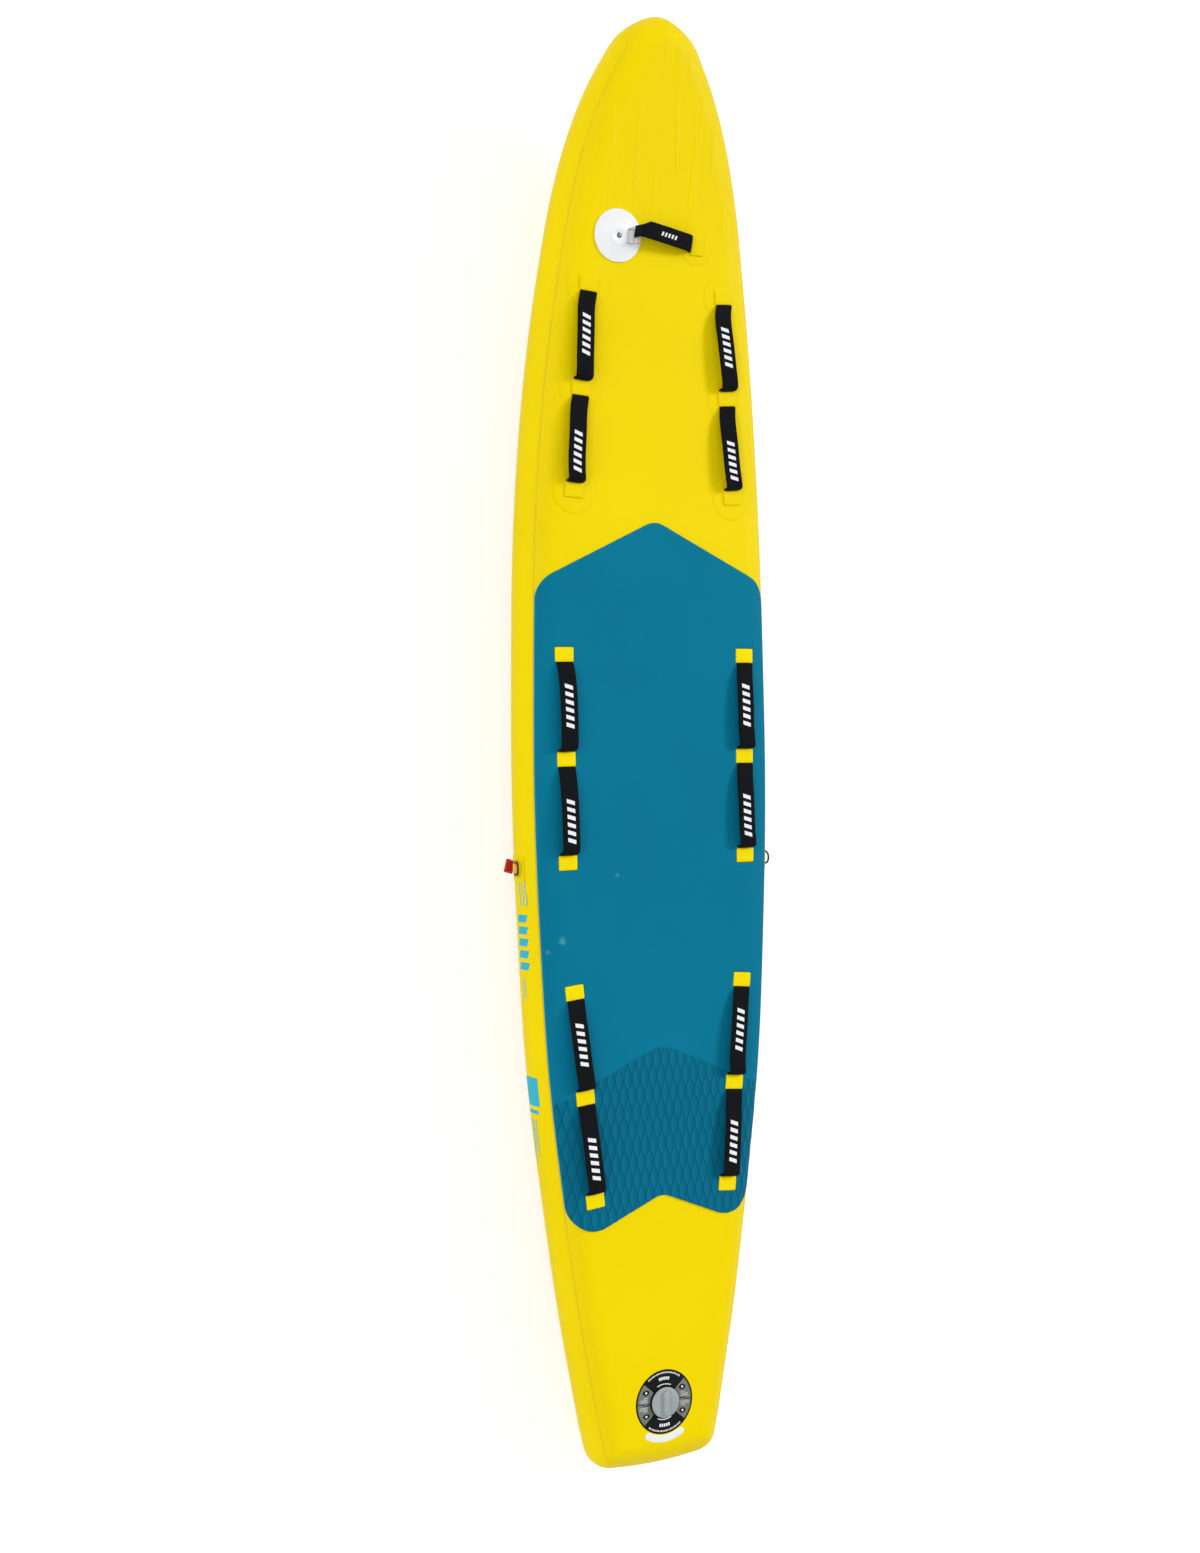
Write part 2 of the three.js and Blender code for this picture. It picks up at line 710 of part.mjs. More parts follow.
function buildNoseFitting() {
  const x = aheadOfStraps(discAhead);
  const seat = noseSeat(x, discPort, clearance + discSag);
  let cone = solidOf(lathe([
    [0, 0],
    [discRadius, 0],
    [discRadius, discRim],
    [discHubRadius, discHubHeight - discRecessDepth],
    [discHubRadius - discRecessDepth, discHubHeight],
    [discRecessRadius, discHubHeight],
    [discRecessRadius - discRecessDepth, discHubHeight - discRecessDepth],
    [0, discHubHeight - discRecessDepth],
  ], discSegments));
  const notchShape = roundedRectangle(discNotchWidth, discNotchLength, discNotchCorner);
  const notch = extrude(notchShape, discHubHeight + cutOverrun);
  cone = cone.subtract(solidOf(notch, move(0, -discNotchStart - discNotchLength / 2, discRim / 2)));
  const slit = new THREE.BoxGeometry(discSlitWidth, discRadius, discHubHeight + cutOverrun);
  const slitX = (discSlitWidth - discNotchWidth) / 2 + discNotchCorner;
  cone = cone.subtract(solidOf(slit, move(slitX, -discRadius, 0)));
  const boreRadius = screwShank + clearance;
  const boreDepth = screwShankLength + clearance;
  const bore = new THREE.CylinderGeometry(boreRadius, boreRadius, boreDepth, screwSegments);
  bore.rotateX(Math.PI / 2);
  const boreTop = discHubHeight - discRecessDepth;
  cone = cone.subtract(solidOf(bore, move(0, 0, boreTop - screwShankLength / 2 + clearance / 2)));
  addSolid('nose_fitting', cone, colours.white, finishes.moulded).applyMatrix4(seat);

  const screw = lathe([
    [0, -screwShankLength + clearance],
    [screwShank, -screwShankLength + clearance],
    [screwShank, clearance],
    [screwRadius, clearance],
    [screwRadius, screwEdge],
    [screwCrownRadius, screwHead],
    [0, screwHead],
  ], screwSegments);
  add('nose_fitting_screw', screw, colours.grey, finishes.metal, 0.7)
    .applyMatrix4(seat.clone().multiply(move(0, 0, boreTop)));

  const tongue = extrude(roundedRectangle(tongueWidth, tongueLength, discNotchCorner), tongueThickness);
  const tongueY = -discNotchStart - clearance - tongueLength / 2;
  const tongueZ = discRim / 2 + clearance + tongueDrop;
  add('nose_strap_tongue', tongue, colours.white, finishes.moulded)
    .applyMatrix4(seat.clone().multiply(move(0, tongueY, tongueZ)));
}

// Valve: body through the deck skin, nut behind it, sprung pin, cap and seal
function buildValve() {
  const [x, y] = valvePlace();
  const deck = deckLevel + clearance;
  const bottom = deckLevel - barrelDepth;
  let body = solidOf(lathe([
    [barrelBore, deck + flangeThickness],
    [barrelBore, bottom + seatThickness],
    [seatBore, bottom + seatThickness],
    [seatBore, bottom],
    [barrelRadius, bottom],
    [barrelRadius, deck],
    [flangeRadius, deck],
    [flangeRadius, deck + flangeThickness],
    [barrelBore, deck + flangeThickness],
  ], valveSegments));
  const arm = new THREE.BoxGeometry(2 * seatBore + seatThickness, spiderWidth, seatThickness);
  const armAt = move(0, 0, bottom + seatThickness / 2);
  const cross = new THREE.Matrix4().makeRotationZ(Math.PI / 2);
  body = body.add(solidOf(arm, armAt)).add(solidOf(arm, armAt.clone().multiply(cross)));
  const hub = new THREE.CylinderGeometry(spiderHubRadius, spiderHubRadius, seatThickness, screwSegments);
  body = body.add(solidOf(hub.rotateX(Math.PI / 2), armAt));
  const guide = new THREE.CylinderGeometry(stemRadius + runningGap, stemRadius + runningGap,
    seatThickness + cutOverrun, screwSegments);
  body = body.subtract(solidOf(guide.rotateX(Math.PI / 2), armAt));
  addSolid('valve_body', body, colours.grey, finishes.matt).position.set(x, y, 0);

  const nutTop = deckLevel - skinThickness - clearance;
  const nut = lathe([
    [barrelRadius + clearance, nutTop],
    [barrelRadius + clearance, nutTop - nutDepth],
    [nutCollarRadius, nutTop - nutDepth],
    [nutCollarRadius, nutTop - nutFlange],
    [nutRadius, nutTop - nutFlange],
    [nutRadius, nutTop],
    [barrelRadius + clearance, nutTop],
  ], valveSegments);
  add('valve_nut', nut, colours.grey, finishes.matt).position.set(x, y, 0);

  const pinTop = deckLevel - stemTop;
  const poppetTop = bottom - clearance;
  const pin = lathe([
    [0, poppetTop - poppetThickness],
    [poppetRadius, poppetTop - poppetThickness],
    [poppetRadius, poppetTop],
    [stemRadius, poppetTop],
    [stemRadius, pinTop - buttonThickness],
    [buttonRadius, pinTop - buttonThickness],
    [buttonRadius, pinTop],
    [0, pinTop],
  ], valveSegments);
  add('valve_pin', pin, colours.dark, finishes.matt).position.set(x, y, 0);

  const springLow = bottom + seatThickness + clearance;
  const springHigh = pinTop - buttonThickness - clearance;
  const spring = lathe([
    [stemRadius + runningGap, springLow],
    [springRadius, springLow],
    [springRadius, springHigh],
    [stemRadius + runningGap, springHigh],
    [stemRadius + runningGap, springLow],
  ], screwSegments);
  add('valve_spring', spring, colours.spring, finishes.metal, 0.9).position.set(x, y, 0);

  const capLow = deck + flangeThickness + clearance;
  const lipLow = deckLevel - capPlugDepth;
  let cap = solidOf(lathe([
    [0, lipLow],
    [capLipRadius, lipLow],
    [capLipRadius, lipLow + capLipThickness],
    [capPlugRadius, lipLow + capLipThickness],
    [capPlugRadius, capLow],
    [capRadius, capLow],
    [capRadius, capLow + capEdge],
    [capCrownRadius, capLow + capThickness],
    [0, capLow + capThickness],
  ], valveSegments));
  const grip = extrude(roundedRectangle(gripLength, gripWidth, gripCorner), gripHeight, gripCornerSteps);
  cap = cap.add(solidOf(grip, move(0, 0, capLow + capEdge)));
  addSolid('valve_cap', cap, colours.grey, finishes.moulded).position.set(x, y, 0);

  const sealLow = lipLow + capLipThickness + clearance;
  const seal = lathe([
    [capPlugRadius + clearance, sealLow],
    [sealRadius, sealLow],
    [sealRadius, deckLevel + clearance],
    [capPlugRadius + clearance, deckLevel + clearance],
    [capPlugRadius + clearance, sealLow],
  ], valveSegments);
  add('cap_seal', seal, colours.dark, finishes.foam).position.set(x, y, 0);
}

// Bar of a rail ring: outboard of the band, at the height of the rail's widest point
function ringBar(side) {
  const x = fromTail(ringFromTail);
  const edge = widthAt(halfOutline(0), x);
  const reach = patchThickness + sleeveStandOff + ringWire + runningGap + sleeveWall;
  return new THREE.Vector3(x, side * (edge + reach), midHeight);
}

function ringSolidOf() {
  const half = ringInner / 2 + ringWire;
  const bar = new THREE.CylinderGeometry(ringWire, ringWire, 2 * half, ringSegments);
  bar.rotateZ(Math.PI / 2);
  const bend = new THREE.CatmullRomCurve3(ringBowShares.map(([across, out]) => (
    new THREE.Vector3(across * half, 0, out * (ringDepth + ringWire)))));
  const bow = new THREE.ExtrudeGeometry(disc(ringWire),
    { steps: ringBowSteps, curveSegments: ringSegments / 2, extrudePath: bend });
  const knuckle = new THREE.SphereGeometry(ringWire, ringSegments, ringSegments);
  return solidOf(bar)
    .add(solidOf(bow))
    .add(solidOf(knuckle, move(-half, 0, 0)))
    .add(solidOf(knuckle, move(half, 0, 0)));
}

function buildRailRings() {
  const bandLayer = bandSheet(bandRadius + clearance, patchThickness, skinEdgeAngle);
  sides.forEach(([sideName, side]) => {
    const bar = ringBar(side);
    const window = new THREE.BoxGeometry(ringPatchLength, boardWidth / 2, boardThickness);
    const patch = bandLayer.intersect(solidOf(window, move(bar.x, side * boardWidth / 2, midHeight)));
    const sleeveOuter = ringWire + runningGap + sleeveWall;
    const sleeve = new THREE.CylinderGeometry(sleeveOuter, sleeveOuter, sleeveLength, sleeveSegments);
    sleeve.rotateZ(Math.PI / 2);
    const rootDepth = patchThickness + sleeveStandOff + sleeveOuter;
    const root = new THREE.BoxGeometry(sleeveLength, rootDepth, 2 * sleeveOuter);
    const rootShift = -side * (rootDepth / 2 - clearance * 2);
    const boreRadius = ringWire + runningGap;
    const boreLength = sleeveLength + cutOverrun;
    const bore = new THREE.CylinderGeometry(boreRadius, boreRadius, boreLength, sleeveSegments);
    bore.rotateZ(Math.PI / 2);
    const at = move(bar.x, bar.y, bar.z);
    const slab = bandSheet(bandRadius + clearance, boardWidth / 4, skinEdgeAngle);
    const tab = solidOf(sleeve, at)
      .add(solidOf(root, move(bar.x, bar.y + rootShift, bar.z)))
      .intersect(slab)
      .add(patch)
      .subtract(solidOf(bore, at));
    addSolid(`ring_patch_${sideName}`, tab, colours.hull, finishes.coated);
    const mesh = addSolid(`rail_ring_${sideName}`, ringSolidOf(), colours.dark, finishes.moulded);
    mesh.rotation.x = side * rad(ringLean);
    mesh.position.copy(bar);
  });
}

// Tag that stands out from the port rail, under the ring's path
function buildTag() {
  const x = fromTail(ringFromTail);
  const angle = rad(tagAngle);
  const root = bandRadius + clearance;
  const edge = widthAt(halfOutline(0), x) - bandRadius;
  const tag = extrude(roundedRectangle(tagLength, tagReach, tagCorner), tagThickness);
  tag.translate(0, tagReach / 2, -tagThickness);
  tag.rotateX(rad(tagTilt));
  const mesh = add('rail_tag', tag, colours.tag, finishes.cloth);
  mesh.position.set(x, edge + root * Math.cos(angle), midHeight + root * Math.sin(angle));
}

// Fin box glued under the tail, with a slot open to the rear, and the fin that slides in it
function buildFin() {
  const aft = fromTail(finBoxFromTail);
  const centre = aft + finBoxLength / 2;
  const top = -clearance;
  const blockBottom = top - finPlateThickness - finBlockHeight;
  const plate = extrude(roundedRectangle(finBoxLength, finBoxWidth, finBoxCorner), finPlateThickness);
  const slotLength = finBoxLength - 2 * finSlotStop;
  const block = new THREE.BoxGeometry(slotLength, finBlockWidth, finBlockHeight);
  const neck = new THREE.BoxGeometry(slotLength, finSlotWidth, finBlockHeight);
  const railTop = blockBottom + finLipHeight + finRailHeight;
  const throat = new THREE.BoxGeometry(slotLength, finRailWidth, finRailHeight);
  const slotX = centre - finSlotStop;
  const box = solidOf(plate, move(centre, 0, top - finPlateThickness))
    .add(solidOf(block, move(centre, 0, blockBottom + finBlockHeight / 2 + clearance)))
    .subtract(solidOf(neck, move(slotX, 0, railTop - finBlockHeight / 2)))
    .subtract(solidOf(throat, move(slotX, 0, railTop - finRailHeight / 2)));
  addSolid('fin_box', box, colours.dark, finishes.matt);

  const foreStop = slotX + slotLength / 2 - clearance;
  const railWidth = finRailWidth - 2 * runningGap;
  const rail = new THREE.BoxGeometry(finChord, railWidth, finRailHeight - 2 * clearance);
  const stemHeight = finLipHeight + 2 * clearance;
  const stem = new THREE.BoxGeometry(finChord, finThickness, stemHeight);
  const blade = new THREE.Shape(finOutlineShares.map(([along, down]) => (
    new THREE.Vector2(-along * finChord, -down * finDepth))));
  const upright = new THREE.Matrix4().makeRotationX(Math.PI / 2);
  const bladeTop = blockBottom - clearance;
  const bladeAt = move(foreStop, finThickness / 2, bladeTop + clearance);
  const fin = solidOf(rail, move(foreStop - finChord / 2, 0, railTop - finRailHeight / 2))
    .add(solidOf(stem, move(foreStop - finChord / 2, 0, bladeTop + stemHeight / 2)))
    .add(solidOf(extrude(blade, finThickness), bladeAt.multiply(upright)));
  addSolid('fin', fin, colours.dark, finishes.matt);
}

buildShell();
buildPad();
buildTabs();
buildStraps();
buildNoseStrap();
buildNoseFitting();
buildValve();
buildRailRings();
buildTag();
buildFin();

export default board;
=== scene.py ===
import json
import math

import bmesh
import bpy
import numpy as np
from mathutils import Matrix, Vector
from mathutils.geometry import delaunay_2d_cdt


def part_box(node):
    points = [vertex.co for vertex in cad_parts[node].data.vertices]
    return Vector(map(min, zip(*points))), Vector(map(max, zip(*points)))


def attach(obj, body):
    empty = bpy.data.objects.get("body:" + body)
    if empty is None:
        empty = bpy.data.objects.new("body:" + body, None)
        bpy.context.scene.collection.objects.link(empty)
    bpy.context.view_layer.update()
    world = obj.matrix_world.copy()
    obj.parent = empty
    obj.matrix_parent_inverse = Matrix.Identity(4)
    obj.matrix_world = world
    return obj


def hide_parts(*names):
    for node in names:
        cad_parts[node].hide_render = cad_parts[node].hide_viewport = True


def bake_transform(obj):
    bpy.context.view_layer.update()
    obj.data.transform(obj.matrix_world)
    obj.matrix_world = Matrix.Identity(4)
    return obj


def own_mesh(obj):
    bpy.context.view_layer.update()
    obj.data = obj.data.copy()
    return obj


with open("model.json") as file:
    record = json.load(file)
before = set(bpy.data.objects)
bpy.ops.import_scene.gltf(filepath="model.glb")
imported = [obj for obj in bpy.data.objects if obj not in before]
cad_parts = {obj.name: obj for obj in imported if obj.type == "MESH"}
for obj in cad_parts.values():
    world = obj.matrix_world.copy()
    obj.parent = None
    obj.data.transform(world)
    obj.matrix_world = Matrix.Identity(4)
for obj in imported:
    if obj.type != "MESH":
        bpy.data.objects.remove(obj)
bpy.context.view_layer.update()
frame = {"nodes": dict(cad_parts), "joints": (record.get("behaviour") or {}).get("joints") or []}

# All sizes are in millimetres until a mesh is made. +X runs to the nose, +Y to port, +Z up.
MM = 0.001

LENGTH = 3200.0
HALF_WIDTH = 314.0
THICKNESS = 142.0
NOSE_LIFT = 100.0
ROCKER_LENGTH = 1300.0
ROCKER_POWER = 2.2
TAIL_WIDTH = 298.0
TAIL_CORNER_RADIUS = 55.0
TAIL_INNER_RADIUS = 3.0
TAIL_BULGE = 6.0
SKIN_RADIUS = 71.0
SKIN_THICKNESS = 1.6
BAND_RADIUS = 72.9
BAND_INNER = 71.3
BAND_LAP = 72.1
CLEARANCE = 0.3
PAD_THICKNESS = 4.5
PATCH_THICKNESS = 1.2
TAB_THICKNESS = 5.0
OUTLINE_SHARES = (
    (1, 0), (0.9885, 0.252), (0.9688, 0.39), (0.9375, 0.541), (0.8906, 0.685), (0.8281, 0.797),
    (0.75, 0.895), (0.6563, 0.965), (0.5625, 0.992), (0.4688, 1), (0.375, 0.971), (0.2813, 0.916),
    (0.1875, 0.805), (0.1094, 0.69), (0.0594, 0.598), (0.0297, 0.542))
STEPS_PER_SPAN = 12
CORNER_STEPS = 16
TAIL_STEPS = 8

STRAP_ROWS = {
    "front": ((0.8159, 0.535), (0.7466, 0.583), (0.6781, 0.634)),
    "mid": ((0.5675, 0.723), (0.4969, 0.7166), (0.4269, 0.7134)),
    "rear": ((0.3388, 0.675), (0.2666, 0.602), (0.1953, 0.535)),
}
SIDES = (("port", 1), ("starboard", -1))
STRAP_WIDTH = 41.0
STRAP_THICKNESS = 5.5
STRAP_RISE = 20.0
TAB_LENGTH = 32.0
TAB_WIDTH = 44.0
TAB_CORNER = 2.5
TAB_ROOM = 0.8
STRAP_END_GAP = 0.5
STRAP_PATCH_RADIUS = 50.0
# Within these limits the deck is flat
FLAT_HALF_WIDTH = 60
FLAT_FORE = 1450
FLAT_AFT = -1500


def smoothstep(t):
    t = np.clip(t, 0, 1)
    return t * t * (3 - 2 * t)


def rocker(x):
    share = np.maximum(0.0, (np.asarray(x, float) - (LENGTH / 2 - ROCKER_LENGTH)) / ROCKER_LENGTH)
    return NOSE_LIFT * share ** ROCKER_POWER


def from_tail(distance):
    return distance - LENGTH / 2


def catmull_rom(p0, p1, p2, p3, steps):
    """Points and tangents of a centripetal span from p1 towards p2."""
    gaps = [max(np.sum((b - a) ** 2) ** 0.25, 1e-4) for a, b in ((p0, p1), (p1, p2), (p2, p3))]
    d0, d1, d2 = gaps
    t1 = ((p1 - p0) / d0 - (p2 - p0) / (d0 + d1) + (p2 - p1) / d1) * d1
    t2 = ((p2 - p1) / d1 - (p3 - p1) / (d1 + d2) + (p3 - p2) / d2) * d1
    c2 = -3 * p1 + 3 * p2 - 2 * t1 - t2
    c3 = 2 * p1 - 2 * p2 + t1 + t2
    s = np.arange(steps)[:, None] / steps
    return p1 + t1 * s + c2 * s ** 2 + c3 * s ** 3, t1 + 2 * c2 * s + 3 * c3 * s ** 2


def smooth_line(points, steps):
    """Open centripetal curve through the points, end point included."""
    pts = np.asarray(points, float)
    before = 2 * pts[0] - pts[1]
    after = 2 * pts[-1] - pts[-2]
    full = np.vstack([before, pts, after])
    parts = [catmull_rom(*full[i:i + 4], steps)[0] for i in range(len(pts) - 1)]
    return np.vstack(parts + [pts[-1:]])


def side_stations():
    port = np.array([(from_tail(a * LENGTH), b * HALF_WIDTH) for a, b in OUTLINE_SHARES])
    full = np.vstack([port[1] * (1, -1), port, 2 * port[-1] - port[-2]])
    places, tangents = [], []
    for i in range(len(port) - 1):
        p, t = catmull_rom(*full[i:i + 4], STEPS_PER_SPAN)
        places.append(p)
        tangents.append(t)
    places = np.vstack(places + [port[-1:]])
    last = port[-1] - np.array([from_tail(TAIL_BULGE), TAIL_WIDTH / 2])
    tangents = np.vstack(tangents + [-last[None]])
    tangents /= np.linalg.norm(tangents, axis=1)[:, None]
    return places, np.column_stack([-tangents[:, 1], tangents[:, 0]])


STATIONS, INWARD = side_stations()


def half_outline(inset):
    side = STATIONS + INWARD * inset
    start = side[-1]
    inward = INWARD[-1]
    along = np.array([-inward[1], inward[0]])
    edge = from_tail(inset + TAIL_BULGE)
    sharp = np.array([edge, start[1] - along[1] / along[0] * (start[0] - edge)])
    turn = math.acos(along[1])
    radius = max(TAIL_CORNER_RADIUS - inset, TAIL_INNER_RADIUS)
    centre = sharp + along * radius * math.tan(turn / 2) + inward * radius
    angles = math.atan2(-inward[1], -inward[0]) + turn * np.arange(CORNER_STEPS + 1) / CORNER_STEPS
    corner = centre + radius * np.column_stack([np.cos(angles), np.sin(angles)])
    end = corner[-1]
    shares = 1 - np.arange(1, TAIL_STEPS + 1) / TAIL_STEPS
    tail = np.column_stack([end[0] - TAIL_BULGE * (1 - shares ** 2), end[1] * shares])
    return np.vstack([side, corner, tail])


def plan_ring(inset):
    half = half_outline(inset)
    return np.vstack([half, half[-2:0:-1] * (1, -1)])


def rail_ring(radius, degrees):
    angle = math.radians(degrees)
    plan = plan_ring(BAND_RADIUS - radius * math.cos(angle))
    z = SKIN_RADIUS + radius * math.sin(angle) + rocker(plan[:, 0])
    return np.column_stack([plan, z])


OUTLINE = plan_ring(0.0)
BATCH = 4000


def distance_to(points, ring):
    """Distance of each point to a closed polyline, found for a batch of points at a time."""
    run = np.roll(ring, -1, axis=0) - ring
    size = np.maximum((run ** 2).sum(1), 1e-12)
    result = np.empty(len(points))
    for k in range(0, len(points), BATCH):
        p = points[k:k + BATCH, None, :] - ring[None]
        t = np.clip((p * run[None]).sum(2) / size[None], 0, 1)
        result[k:k + BATCH] = np.sqrt(((p - t[..., None] * run[None]) ** 2).sum(2).min(1))
    return result


def inside(points, ring):
    x, y = points[:, 0], points[:, 1]
    result = np.zeros(len(points), bool)
    for (x0, y0), (x1, y1) in zip(ring, np.roll(ring, -1, axis=0)):
        if y0 == y1:
            continue
        crosses = (y0 > y) != (y1 > y)
        result ^= crosses & (x < (x1 - x0) * (y - y0) / (y1 - y0) + x0)
    return result


def deck_z(points, lift):
    """Height over the deck of the surface that lies the given lift above the deck skin."""
    near = np.abs(points[:, 1]) > FLAT_HALF_WIDTH
    near |= points[:, 0] > FLAT_FORE
    near |= points[:, 0] < FLAT_AFT
    reach = np.zeros(len(points))
    if near.any():
        reach[near] = np.maximum(0.0, BAND_RADIUS - distance_to(points[near], OUTLINE))
    radius = SKIN_RADIUS + lift
    return SKIN_RADIUS + rocker(points[:, 0]) + np.sqrt(np.maximum(radius ** 2 - reach ** 2, 0))


# Meshes

def new_object(name, verts, faces, materials, indices=None, sharp=35.0):
    mesh = bpy.data.meshes.new(name)
    mesh.from_pydata((np.asarray(verts, float) * MM).tolist(), [], faces)
    mesh.validate()
    for m in materials:
        mesh.materials.append(m)
    if indices is not None:
        mesh.polygons.foreach_set("material_index", indices)
    mesh.shade_smooth()
    mesh.set_sharp_from_angle(angle=math.radians(sharp))
    obj = bpy.data.objects.new(name, mesh)
    bpy.context.scene.collection.objects.link(obj)
    return obj


def fit(obj, body, slot, *nodes):
    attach(obj, body)
    if nodes:
        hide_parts(*nodes)
    return obj


def consistent(obj):
    """The object with all its faces turned outward."""
    mesh = bmesh.new()
    mesh.from_mesh(obj.data)
    bmesh.ops.recalc_face_normals(mesh, faces=mesh.faces)
    mesh.to_mesh(obj.data)
    mesh.free()
    return obj


def add_piece(name, part, material, body, slot, *nodes, sharp=35.0):
    """New object of one material from (vertices, faces), which rides the body."""
    return fit(new_object(name, part[0], part[1], [material], sharp=sharp), body, slot, *nodes)


def add_cloth(name, part, material, *nodes, sharp=35.0):
    """New piece of coated fabric, or print on it, that stays on the board."""
    return add_piece(name, part, material, "board", "coated_fabric", *nodes, sharp=sharp)


def add_attribute(obj, name, values):
    attribute = obj.data.attributes.new(name, "FLOAT", "POINT")
    attribute.data.foreach_set("value", np.asarray(values, np.float32))


def band_faces(rings, count, looped=False, turned=False):
    """Quads between each closed ring of vertices and the next one."""
    faces = []
    for k in range(rings if looped else rings - 1):
        a = k * count
        b = (k + 1) % rings * count
        for i in range(count):
            j = (i + 1) % count
            faces.append((a + i, b + i, b + j, a + j) if turned else (a + i, a + j, b + j, b + i))
    return faces


def end_faces(rings, count):
    last = (rings - 1) * count
    return tuple(range(count)), tuple(last + i for i in range(count - 1, -1, -1))


def loft(rings, looped, capped):
    """Quads between rings of equal count; caps are flat strips between mirrored stations."""
    count = len(rings[0])
    faces = band_faces(len(rings), count, looped, turned=True)
    if capped:
        half = count // 2
        for base, up in ((0, True), ((len(rings) - 1) * count, False)):
            for i in range(half):
                corners = [i, i + 1, (count - i - 1) % count, (count - i) % count]
                corners = [base + k for k in dict.fromkeys(corners)]
                faces.append(tuple(corners if up else corners[::-1]))
    return np.vstack(rings), faces


def resample(ring, spacing):
    points = []
    for a, b in zip(ring, np.roll(ring, -1, axis=0)):
        steps = max(1, int(math.ceil(np.linalg.norm(b - a) / spacing)))
        points.extend(a + (b - a) * k / steps for k in range(steps))
    return np.array(points)


def offset_ring(ring, by):
    """Ring moved to its left by the distance, so inward for an anticlockwise one."""
    run = np.roll(ring, -1, axis=0) - ring
    run /= np.linalg.norm(run, axis=1)[:, None]
    normal = np.column_stack([-run[:, 1], run[:, 0]])
    mitre = normal + np.roll(normal, 1, axis=0)
    size = np.linalg.norm(mitre, axis=1)
    mitre /= size[:, None]
    return ring + mitre * (by / np.maximum(size / 2, 0.5))[:, None]


def circle(x, y, radius, steps=48, squash=1.0):
    a = np.arange(steps) * 2 * math.pi / steps
    return np.column_stack([x + radius * np.cos(a), y + radius * squash * np.sin(a)])


def rounded_box(length, width, corner, steps=5):
    points = []
    for k, (sx, sy) in enumerate(((1, 1), (-1, 1), (-1, -1), (1, -1))):
        centre = np.array([sx * (length / 2 - corner), sy * (width / 2 - corner)])
        for step in range(steps + 1):
            a = math.pi / 2 * (k + step / steps)
            points.append(centre + corner * np.array([math.cos(a), math.sin(a)]))
    return np.array(points)


def placed(ring, x, y, turn=0.0):
    c, s = math.cos(turn), math.sin(turn)
    return np.column_stack([x + ring[:, 0] * c - ring[:, 1] * s, y + ring[:, 0] * s + ring[:, 1] * c])


def within(points, outer, holes=()):
    keep = inside(points, outer)
    for hole in holes:
        keep &= ~inside(points, hole)
    return keep


def region_faces(points, edges, outer, holes=()):
    """Triangles over all the points, inside the outer ring and outside the holes."""
    found = delaunay_2d_cdt([Vector(p) for p in points.tolist()], edges, [], 1, 1e-5)
    coords = np.array([v[:] for v in found[0]])
    if len(coords) != len(points):
        raise ValueError(f"crossing loops near {outer.mean(0)}, size {np.ptp(outer, axis=0)}")
    faces = [tuple(f) for f in found[2]]
    keep = within(coords[np.array(faces)].mean(1), outer, holes)
    return [f for f, k in zip(faces, keep) if k]


def grid_points(ring, step):
    low, high = ring.min(0), ring.max(0)
    across = [np.arange(a + step / 2, b, step) for a, b in zip(low, high)]
    return np.stack(np.meshgrid(*across), -1).reshape(-1, 2)


def clear_points(points, outer, holes, gap):
    """The points of the region that stay further than the gap from its rings."""
    points = points[within(points, outer, holes)]
    clear = np.min([distance_to(points, ring) for ring in [outer, *holes]], axis=0)
    return points[clear > gap]


def closed_edges(start, count):
    return [(start + i, start + (i + 1) % count) for i in range(count)]


def flat(z):
    """Height function of a level face."""
    return lambda points: np.full(len(points), z)


def slab(outer, holes, top, bottom, grid, bevel, extra=None):
    """Closed solid between two height functions of the plan, its upper edges rounded by bevel loops.

    outer is anticlockwise, holes are clockwise. bevel lists each loop's distance inside the edge and its
    drop below the top. extra gives more points of the top and the test of the places they fill.
    Returns vertices, faces (the top first) and the number of faces of the top.
    """
    rings = [outer] + list(holes)
    points, edges, drops = [], [], []
    total = 0
    for share, drop in bevel:
        for ring in rings:
            loop = offset_ring(ring, share) if share else ring
            points.append(loop)
            drops.append(np.full(len(loop), drop))
            edges.extend(closed_edges(total, len(loop)))
            total += len(loop)
    border = np.vstack(rings)
    spread = grid_points(outer, grid)
    if extra is not None:
        spread = np.vstack([spread[~extra[1](spread)], extra[0]])
    spread = clear_points(spread, outer, holes, bevel[-1][0] + min(grid, 2.5) * 0.45)
    top_points = np.vstack(points + [spread])
    drops.append(np.zeros(len(spread)))
    top_verts = np.column_stack([top_points, top(top_points) - np.concatenate(drops)])
    top_faces = region_faces(top_points, edges, outer, holes)
    rim_edges = edges[:len(border)]
    coarse = max(grid, 20.0)
    low_points = np.vstack([border, clear_points(grid_points(outer, coarse), outer, holes, coarse * 0.3)])
    shift = len(top_points)
    low_faces = region_faces(low_points, rim_edges, outer, holes)
    low_faces = [tuple(shift + i for i in reversed(f)) for f in low_faces]
    walls = [(i, shift + i, shift + j, j) for i, j in rim_edges]
    verts = np.vstack([top_verts, np.column_stack([low_points, bottom(low_points)])])
    return verts, top_faces + walls + low_faces, len(top_faces)


def deck_slab(outer, low, thickness, grid, holes=(), relief=None, **options):
    def top(points):
        lift = np.full(len(points), low + thickness)
        if relief is not None:
            lift = lift - relief(points)
        return deck_z(points, lift)

    return slab(outer, list(holes), top, lambda points: deck_z(points, low), grid, **options)


